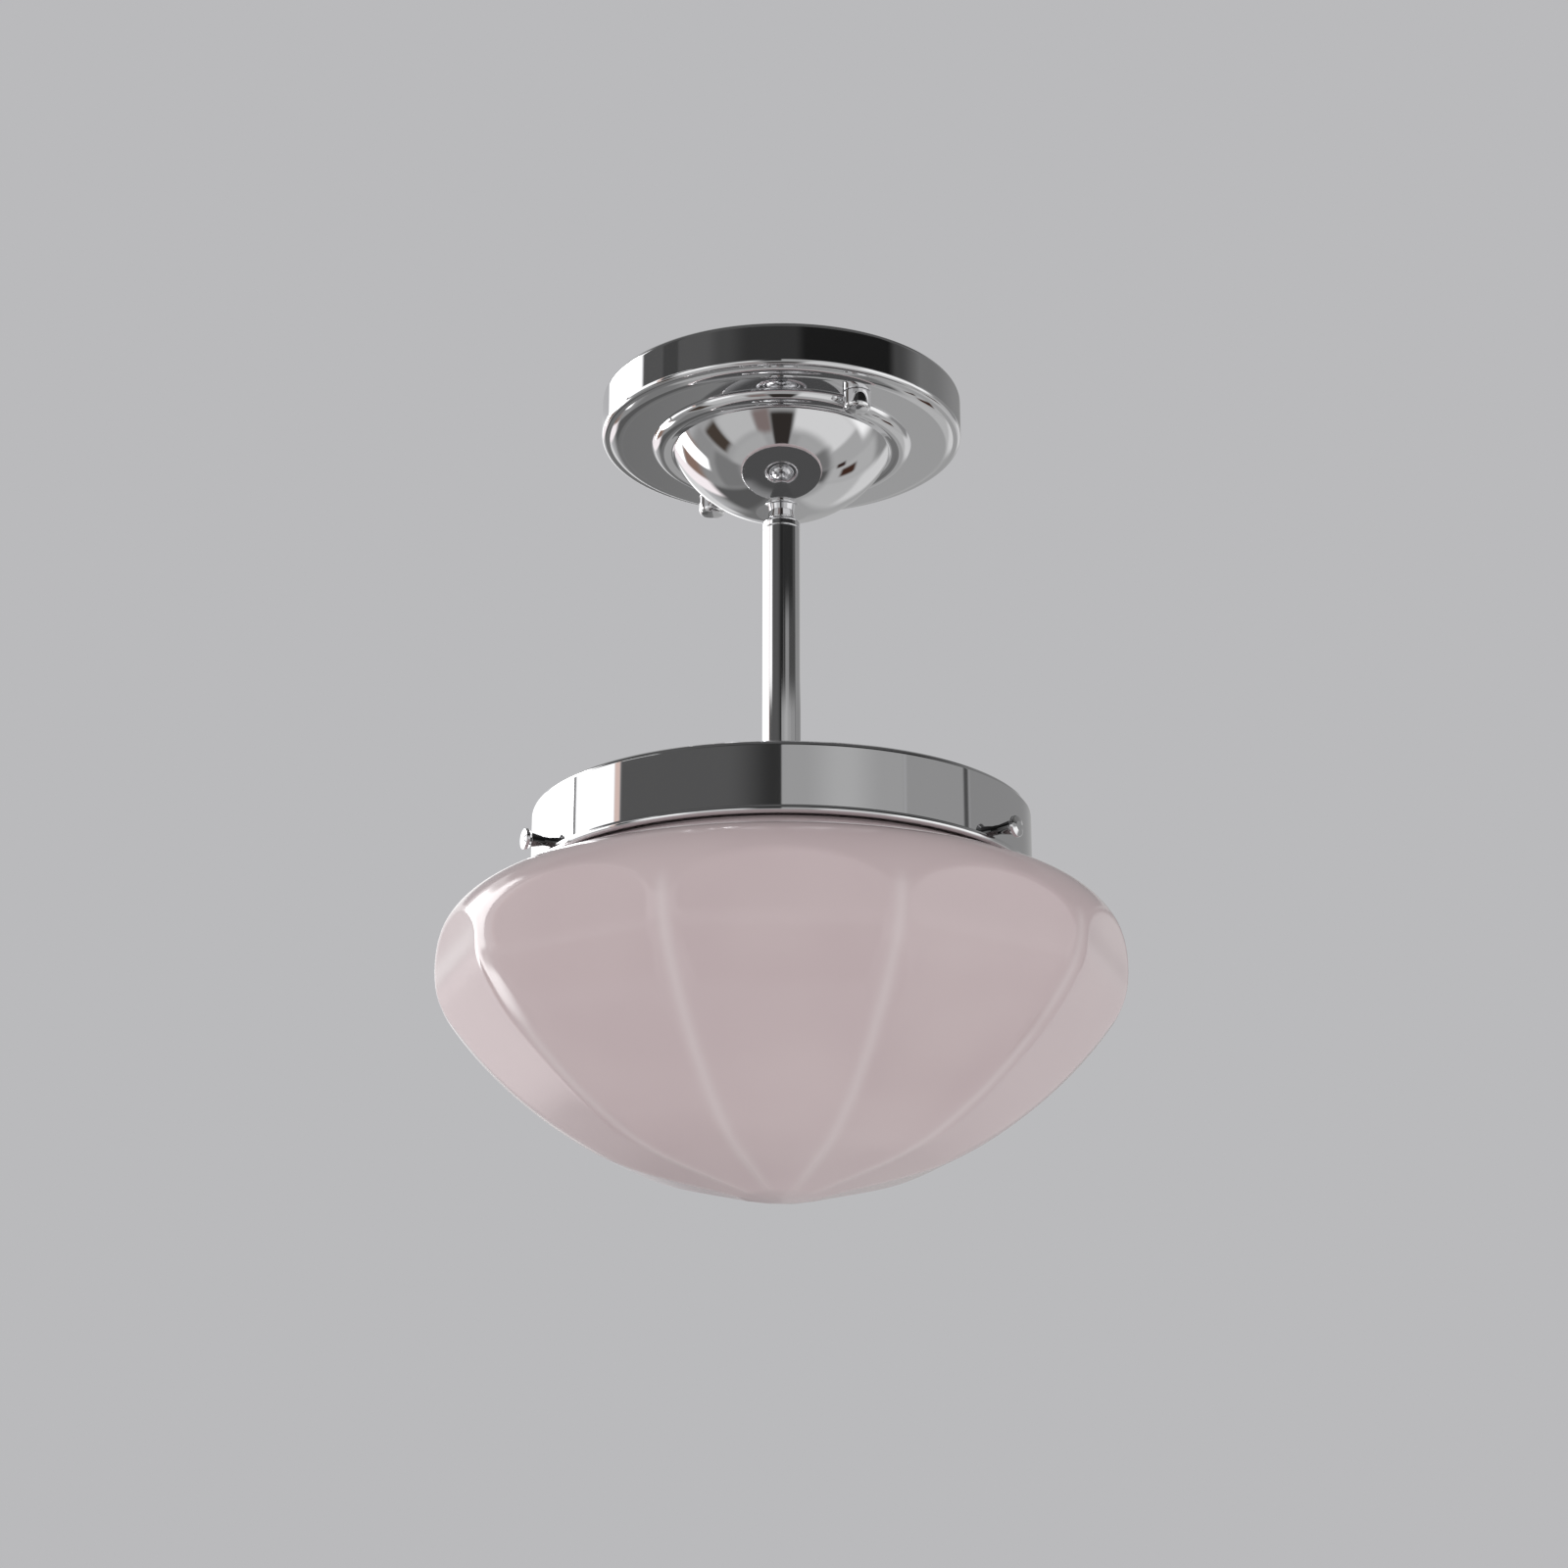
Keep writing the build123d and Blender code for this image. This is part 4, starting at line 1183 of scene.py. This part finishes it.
def geometry_group(name: str, count: str, *numbers: str) -> tuple[NodeTree, Tree, dict[str, Value]]:
    """Starts a geometry group with named inputs.

    Args:
        name: Name of the group.
        count: Name of its whole-number input.
        numbers: Names of its other inputs.

    Returns:
        The group, its tree and its inputs by name, with the geometry among them.
    """
    group = bpy.data.node_groups.new(name, "GeometryNodeTree")
    group.interface.new_socket("Geometry", in_out="OUTPUT", socket_type="NodeSocketGeometry")
    kinds = {"Geometry": "NodeSocketGeometry", count: "NodeSocketInt"}
    kinds.update(dict.fromkeys(numbers, "NodeSocketFloat"))
    for label, kind in kinds.items():
        group.interface.new_socket(label, in_out="INPUT", socket_type=kind)
    tree = Tree(group)
    given = tree.node("NodeGroupInput")
    return group, tree, {label: Value(tree, given.outputs[label]) for label in kinds}


def finish_group(tree: Tree, geometry: Value, material: Material) -> None:
    """Ends a geometry group by dressing its geometry."""
    dressed = tree.output("GeometryNodeSetMaterial", {"Geometry": geometry, "Material": material})
    tree.node("NodeGroupOutput", {"Geometry": dressed})


def apply_group(name: str, blank: Mesh, group: NodeTree, settings: dict[str, Any]) -> Mesh:
    """Runs a geometry group on a mesh.

    Args:
        name: Name of the finished mesh.
        blank: Mesh that the group works on.
        group: The geometry group.
        settings: Values by input name.

    Returns:
        The finished mesh.
    """
    host = bpy.data.objects.new(blank.name, blank)
    bpy.context.scene.collection.objects.link(host)
    modifier = host.modifiers.new(group.name, "NODES")
    modifier.node_group = group
    names = {item.name: item.identifier for item in group.interface.items_tree if item.in_out == "INPUT"}
    for label, value in settings.items():
        modifier[names[label]] = value
    graph = bpy.context.evaluated_depsgraph_get()
    mesh = bpy.data.meshes.new_from_object(
        host.evaluated_get(graph), preserve_all_data_layers=True, depsgraph=graph)
    bpy.data.objects.remove(host)
    mesh.name = name
    return mesh


def drill_group(material: Material) -> NodeTree:
    """Geometry group that drills even holes round the axis, upright or leaning outwards.

    Args:
        material: Finish of the result.

    Returns:
        The group.
    """
    group, tree, given = geometry_group(
        "drilled_holes", "Hole Count", "First Hole", "Hole Radius", "Hole Length", "Hole Circle",
        "Hole Level", "Lean")
    count, circle, lean = given["Hole Count"], given["Hole Circle"], given["Lean"]
    angle = given["First Hole"] + tree.output("GeometryNodeInputIndex") * 2 * math.pi / count
    across, along = tree.math("COSINE", angle), tree.math("SINE", angle)
    place = tree.vector(across * circle, along * circle, given["Hole Level"])
    way = tree.vector(across * lean, along * lean, 1.0 - lean)
    line = tree.output("GeometryNodeMeshLine", {"Count": count}, mode="OFFSET")
    spots = tree.output("GeometryNodeSetPosition", {"Geometry": line, "Position": place})
    turn = tree.output("FunctionNodeAlignRotationToVector", {"Vector": way}, axis="Z")
    sizes = {"Vertices": DRILL_SIDES, "Radius": given["Hole Radius"], "Depth": given["Hole Length"]}
    drill = tree.output("GeometryNodeMeshCylinder", sizes, "Mesh")
    copies = {"Points": spots, "Instance": drill, "Rotation": turn}
    drills = tree.output("GeometryNodeInstanceOnPoints", copies)
    real = tree.output("GeometryNodeRealizeInstances", {"Geometry": drills})
    meshes = {"Mesh 1": given["Geometry"], "Mesh 2": real}
    cut = tree.output("GeometryNodeMeshBoolean", meshes, "Mesh", operation="DIFFERENCE", solver="EXACT")
    finish_group(tree, cut, material)
    return group


def drilled(name: str, blank: Mesh, material: Material, holes: dict[str, Any]) -> Mesh:
    """Drills a turned piece.

    Args:
        name: Name of the finished mesh.
        blank: Mesh to drill.
        material: Its finish.
        holes: Inputs of the drilling group.

    Returns:
        The drilled mesh.
    """
    mesh = apply_group(name, blank, drill_group(material), holes)
    shade(mesh)
    return mesh


def pressed_flats(material: Material) -> NodeTree:
    """Geometry group that presses even flats into a turned body and marks a painted highlight along the
    ridges.

    Args:
        material: Finish of the result.

    Returns:
        The group.
    """
    group, tree, given = geometry_group(
        "pressed_flats", "Flat Count", "First Flat", "Ridge Softness", "Ridge Highlight Width")
    x, y, z = tree.axes(tree.output("GeometryNodeInputPosition"))
    step = 2 * math.pi / given["Flat Count"]
    turns = (tree.math("ARCTAN2", y, x) - given["First Flat"]) / step + 0.5
    from_middle = (turns - tree.math("FLOOR", turns) - 0.5) * step
    round_radius = tree.math("SQRT", x * x + y * y)
    flat_radius = tree.carried("flat_reach") / tree.math("COSINE", from_middle)
    pressed = tree.math("SMOOTH_MIN", round_radius, flat_radius, given["Ridge Softness"])
    share = pressed / tree.math("MAXIMUM", round_radius, TINY)
    # Painted highlight: a narrow band along each ridge, stored for the glass colour
    from_ridge = (0.5 * step - tree.math("ABSOLUTE", from_middle)) * pressed
    fall = -((from_ridge / given["Ridge Highlight Width"]) ** 2.0)
    ridge_highlight = tree.carried("ridge_highlight_strength") * tree.math("EXPONENT", fall)
    mark = {"Geometry": given["Geometry"], "Name": "ridge_highlight", "Value": ridge_highlight}
    marked = tree.output("GeometryNodeStoreNamedAttribute", mark, data_type="FLOAT", domain="POINT")
    place = tree.vector(x * share, y * share, z)
    moved = tree.output("GeometryNodeSetPosition", {"Geometry": marked, "Position": place})
    finish_group(tree, moved, material)
    return group


def shown(*levels: float) -> Colour:
    """Light that the chrome shows as a given sRGB level of the picture, from 0 to 255.

    Args:
        levels: One grey level, or red, green and blue.

    Returns:
        The light as linear colour.
    """
    parts = levels if len(levels) == 3 else levels * 3
    linear = [((part / 255 + 0.055) / 1.055) ** 2.4 for part in parts]
    return tuple(part / PolishedChrome().tint[0] for part in linear)


@dataclass(frozen=True)
class RoomPatch:
    """Part of the room that the light mirrors, in degrees round from the camera's side and up."""

    colour: Colour
    azimuth: Range
    elevation: Range
    side_fade: float = 1.5
    end_fade: float = 1.0


# Azimuths right round, and past the middle of the back
ALL_ROUND = (-360.0, 360.0)
BEHIND = 200.0
# Light of the open window and of its dimmer panes
WINDOW = (5.0, 5.0, 5.0)
PANE = (1.25, 1.25, 1.25)
# Heights of the room that the upright walls of the light mirror
GALLERY_WALLS = (-40.0, 40.0)
STEM_WALLS = (19.8, 40.0)
CANOPY_WALLS = (24.2, 42.0)
ROOM = (
    # Dark ceiling, paler behind the light on the left
    RoomPatch(shown(78), ALL_ROUND, (40, 120), 6, 6),
    RoomPatch(shown(140), (-181, -130), (30, 60), 8, 8),
    # Walls that the gallery mirrors
    RoomPatch(shown(80), (-78, 6), GALLERY_WALLS),
    RoomPatch(shown(36), (-12, 6), GALLERY_WALLS, 14),
    RoomPatch(shown(149), (0, 57), GALLERY_WALLS, 0.5),
    RoomPatch(shown(164), (18, 38), GALLERY_WALLS, 9),
    RoomPatch(shown(139), (57, 91), GALLERY_WALLS, 2),
    RoomPatch(shown(72), (90.5, 94), GALLERY_WALLS, 1),
    RoomPatch(shown(130), (94, BEHIND), GALLERY_WALLS),
    RoomPatch(shown(158), (158, BEHIND), GALLERY_WALLS, 16),
    # Walls that the stem mirrors
    RoomPatch(shown(255), (-82, -58), STEM_WALLS, 2, 0.4),
    RoomPatch(shown(36), (-6, 12), STEM_WALLS, 3, 0.4),
    RoomPatch(shown(60), (12, 26), STEM_WALLS, 3, 0.4),
    RoomPatch(shown(132), (24, 46), STEM_WALLS, 3, 0.4),
    RoomPatch(shown(70), (46, 92), STEM_WALLS, 4, 0.4),
    RoomPatch(shown(132), (98, BEHIND), STEM_WALLS, 12, 0.4),
    RoomPatch(shown(176), (142, BEHIND), STEM_WALLS, 12, 0.4),
    RoomPatch(shown(42), (9, 72), (21.6, 40), 4, 0.5),
    # Walls that the canopy mirrors
    RoomPatch(shown(80), (-99, -40), CANOPY_WALLS, 1.2),
    RoomPatch(shown(63), (-81, -69), CANOPY_WALLS, 1.2),
    RoomPatch(shown(66), (-44, 100), CANOPY_WALLS, 6),
    RoomPatch(shown(49), (-28, 30), CANOPY_WALLS, 8),
    RoomPatch(shown(26), (12, 75), CANOPY_WALLS, 4),
    RoomPatch(shown(108), (92, BEHIND), CANOPY_WALLS, 12),
    RoomPatch(shown(126), (130, BEHIND), CANOPY_WALLS, 20),
    RoomPatch(shown(150), (168, BEHIND), CANOPY_WALLS, 10),
    # Pale floor, darker behind the light on the left
    RoomPatch(shown(150), ALL_ROUND, (-120, -12), 1, 7),
    RoomPatch(shown(108), (-181, -166), (-60, 0), 5, 5),
    RoomPatch(shown(84), (-168, -141), (-58, -20), 5, 5),
    RoomPatch(shown(116), (-141, -98), (-58, -34), 5, 5),
    RoomPatch(shown(136), (-141, -94), (-34, -16), 4, 4),
    RoomPatch(shown(130, 108, 98), (-148, -112), (-20, -3), 5, 5),
    RoomPatch(shown(66, 58, 52), (-92, -76), (-45, -22), 3, 3),
    RoomPatch(shown(178), (-74, -33), (-48, -22), 4, 4),
    RoomPatch(shown(118, 106, 104), (-33, -14), (-52, -30), 4, 4),
    RoomPatch(shown(162), (-100, -28), (-66, -50), 5, 5),
    # Floor in front and on the right, with the dark stand of the camera
    RoomPatch(shown(204), (16, 90), (-50, -20), 3, 6),
    RoomPatch(shown(158), (30, 75), (-66, -52), 5, 5),
    RoomPatch(shown(46, 42, 40), (-13, 14), (-66, -34), 3, 3),
    RoomPatch(shown(110), (75, 112), (-66, -50), 6, 6),
    RoomPatch(shown(160), (88, 112), (-50, -12), 4, 4),
    RoomPatch(shown(80), (112, 134), (-66, -50), 5, 5),
    RoomPatch(shown(168), (112, 134), (-50, -10), 4, 4),
    RoomPatch(shown(173), (134, 164), (-48, -6), 4, 4),
    RoomPatch(shown(199), (138, 160), (-17, 12.5), 4, 4),
    RoomPatch(shown(48, 34, 30), (110, 115), (-45, -38), 1.5, 1.5),
    RoomPatch(shown(60, 40, 32), (119, 128), (-40, -28), 2, 2),
    # Bright strip low on the walls in front, left and right
    RoomPatch(shown(190), (-66, -14), (-21, 9), 5, 3),
    RoomPatch(shown(190), (18, 104), (-21, 9), 5, 3),
    RoomPatch(shown(240), (-66, -42), (-21, 9), 6, 3),
    RoomPatch(shown(240), (50, 100), (-21, 9), 6, 3),
    # Window on the left: the wall under it, its panes, its mullion and the edge of a curtain
    RoomPatch(shown(205), (-170, -109.4), (-5, 16.5), 2, 2),
    RoomPatch(shown(242, 234, 236), (-153, -140), (-22, 10), 2, 4),
    RoomPatch(PANE, (-107.2, -81), (-10, 24), 1.2),
    RoomPatch(PANE, (-181, -109.4), (17.5, 24.5), 0.6),
    RoomPatch(PANE, (-181, -141), (15.4, 24.5), 0.6),
    RoomPatch(PANE, (-146, -100), (24, 38), 1.5),
    RoomPatch(WINDOW, (-141, -109.4), (-3, 33), 0.6, 2),
    RoomPatch(WINDOW, (-127, -117), (28, 40), 1.5, 2),
    RoomPatch(WINDOW, (-126, -115), (-27, 0), 2.5, 5),
    RoomPatch(PANE, (-156, -146.5), (10.5, 16.5), 1.5, 1.5),
    RoomPatch(PANE, (-176, -157), (9, 16), 1.5, 1.5),
    RoomPatch(shown(120), (-109.2, -107.4), (-10, 24), 0.3),
    RoomPatch(shown(205, 182, 174), (-81, -78), (-12, 24), 0.6),
)


@dataclass
class Studio:
    """Camera, grey backdrop, pale floor and soft light, in metres but for lens and sensor."""

    backdrop: Colour = (0.491, 0.491, 0.503)
    camera_distance: float = 0.880
    camera_height: float = -0.42168
    camera_pitch: float = 18.03
    lens: float = 65.72
    sensor: float = 36.0
    shift: float = 0.0016
    floor_height: float = -1.1
    floor_radius: float = 2.2
    floor_thickness: float = 0.02
    floor_colour: Colour = (0.86, 0.86, 0.86)
    floor_shade: float = 0.96
    floor_grain: float = 0.4
    floor_gloss: float = 0.7
    soft_light: float = 1.33
    side_light: float = 0.10
    top_shade: float = 0.93
    fill_size: float = 2.4
    fill_height: float = -1.05
    fill_power: float = 5.7
    room: tuple[RoomPatch, ...] = ROOM

    def build(self) -> None:
        """Builds the whole studio."""
        self.build_camera()
        self.build_world()
        self.build_floor()
        self.build_fill()
        bpy.context.scene.view_settings.view_transform = "Standard"
        LOG.info("studio ready")

    def build_camera(self) -> None:
        """Places the camera where the photograph was taken from."""
        data = bpy.data.cameras.new("camera")
        data.sensor_width = self.sensor
        data.lens = self.lens
        data.shift_x = self.shift
        camera = bpy.data.objects.new("camera", data)
        camera.location = (0.0, -self.camera_distance, self.camera_height)
        camera.rotation_euler = (math.radians(90 + self.camera_pitch), 0.0, 0.0)
        bpy.context.scene.collection.objects.link(camera)
        bpy.context.scene.camera = camera

    def build_world(self) -> None:
        """Makes the grey backdrop, the soft light and the room that the metal mirrors."""
        world = bpy.data.worlds.new("studio")
        world.use_nodes = True
        bpy.context.scene.world = world
        tree = Tree(world.node_tree)
        x, y, z = tree.axes(tree.node("ShaderNodeTexCoord").outputs["Generated"])
        azimuth = tree.math("ARCTAN2", x, -y) * math.degrees(1.0)
        elevation = tree.math("ARCSINE", z) * math.degrees(1.0)
        room: Any = self.backdrop
        for patch in self.room:
            across = self.inside(tree, azimuth, patch.azimuth, patch.side_fade)
            upright = self.inside(tree, elevation, patch.elevation, patch.end_fade)
            room = tree.mix(across * upright, room, patch.colour)
        level = self.soft_light - self.side_light * x - self.top_shade * tree.math("MAXIMUM", z, 0.0)
        light = tree.vector(level, level, level)
        rays = tree.node("ShaderNodeLightPath").outputs
        kinds = ("Glossy", "Transmission", "Camera")
        glossy, passing, direct = (Value(tree, rays[f"Is {kind} Ray"]) for kind in kinds)
        seen = tree.mix(tree.math("MAXIMUM", glossy, passing), light, room)
        colour = tree.mix(direct, seen, self.backdrop)
        background = tree.output("ShaderNodeBackground", {"Color": colour, "Strength": 1.0})
        tree.node("ShaderNodeOutputWorld", {"Surface": background})

    @staticmethod
    def inside(tree: Tree, value: Value, limits: Range, fade: float) -> Value:
        """Share, from 0 to 1, of an angle that lies between two limits with a soft border."""
        low, high = limits
        return tree.ease(value, low - fade, low + fade) * (1 - tree.ease(value, high - fade, high + fade))

    def build_floor(self) -> None:
        """Lays a pale round floor far below the light."""
        radius, bottom = self.floor_radius / MM, -self.floor_thickness / MM
        section = Profile().corner(0, 0).corner(radius, 0).corner(radius, bottom).corner(0, bottom)
        mesh = turned_mesh("studio_floor", section.points(False), False, SLIM_TURN)
        mesh.transform(Matrix.Translation((0, 0, self.floor_height)))
        floor = bpy.data.objects.new("studio_floor", mesh)
        bpy.context.scene.collection.objects.link(floor)
        surface = Surface("pale_floor")
        grain = surface.tree.noise(surface.place, self.floor_grain, detail=3.0)
        darker = tuple(self.floor_shade * part for part in self.floor_colour)
        colour = surface.tree.mix(grain, self.floor_colour, darker)
        surface.set(Base_Color=colour, Roughness=self.floor_gloss)
        mesh.materials.append(surface.material)
        floor.visible_glossy = False

    def build_fill(self) -> None:
        """Lights the underside of the glass softly from the floor."""
        data = bpy.data.lights.new("fill", "AREA")
        data.shape = "DISK"
        data.size = self.fill_size
        data.energy = self.fill_power
        lamp = bpy.data.objects.new("fill", data)
        lamp.location = (0.0, 0.0, self.fill_height)
        lamp.rotation_euler = (math.pi, 0.0, 0.0)
        lamp.visible_camera = False
        lamp.visible_glossy = False
        bpy.context.scene.collection.objects.link(lamp)


@dataclass
class CeilingLight:
    """The whole light: its finishes and its sub-assemblies in building order."""

    record: dict[str, Any]
    nodes: dict[str, Object]
    materials: dict[str, Material] = field(default_factory=finishes)

    def dress_nodes(self) -> None:
        """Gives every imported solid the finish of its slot."""
        for entry in self.record["subparts"]:
            solid = self.nodes[entry["node"]]
            solid.data.materials.clear()
            solid.data.materials.append(self.materials[entry["material_slot"]])
            LOG.info("solid %s is %s", entry["node"], entry["material_slot"])

    def build(self) -> None:
        """Dresses the solids and builds the pieces that replace some of them."""
        self.dress_nodes()
        for piece in (Canopy(), CapNuts(), Stem(), Gallery(), ThumbScrews()):
            piece.build(self.materials["chrome"])
        GlassShade().build(self.materials["opal_glass"])


def clear_scene() -> None:
    """Removes what a new file starts with."""
    for thing in list(bpy.data.objects):
        bpy.data.objects.remove(thing)


def main() -> None:
    """Builds the studio and the light."""
    logging.basicConfig(level=logging.INFO, format="%(message)s")
    clear_scene()
    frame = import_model()
    Studio().build()
    CeilingLight(frame["record"], frame["nodes"]).build()


if __name__ == "__main__":
    main()
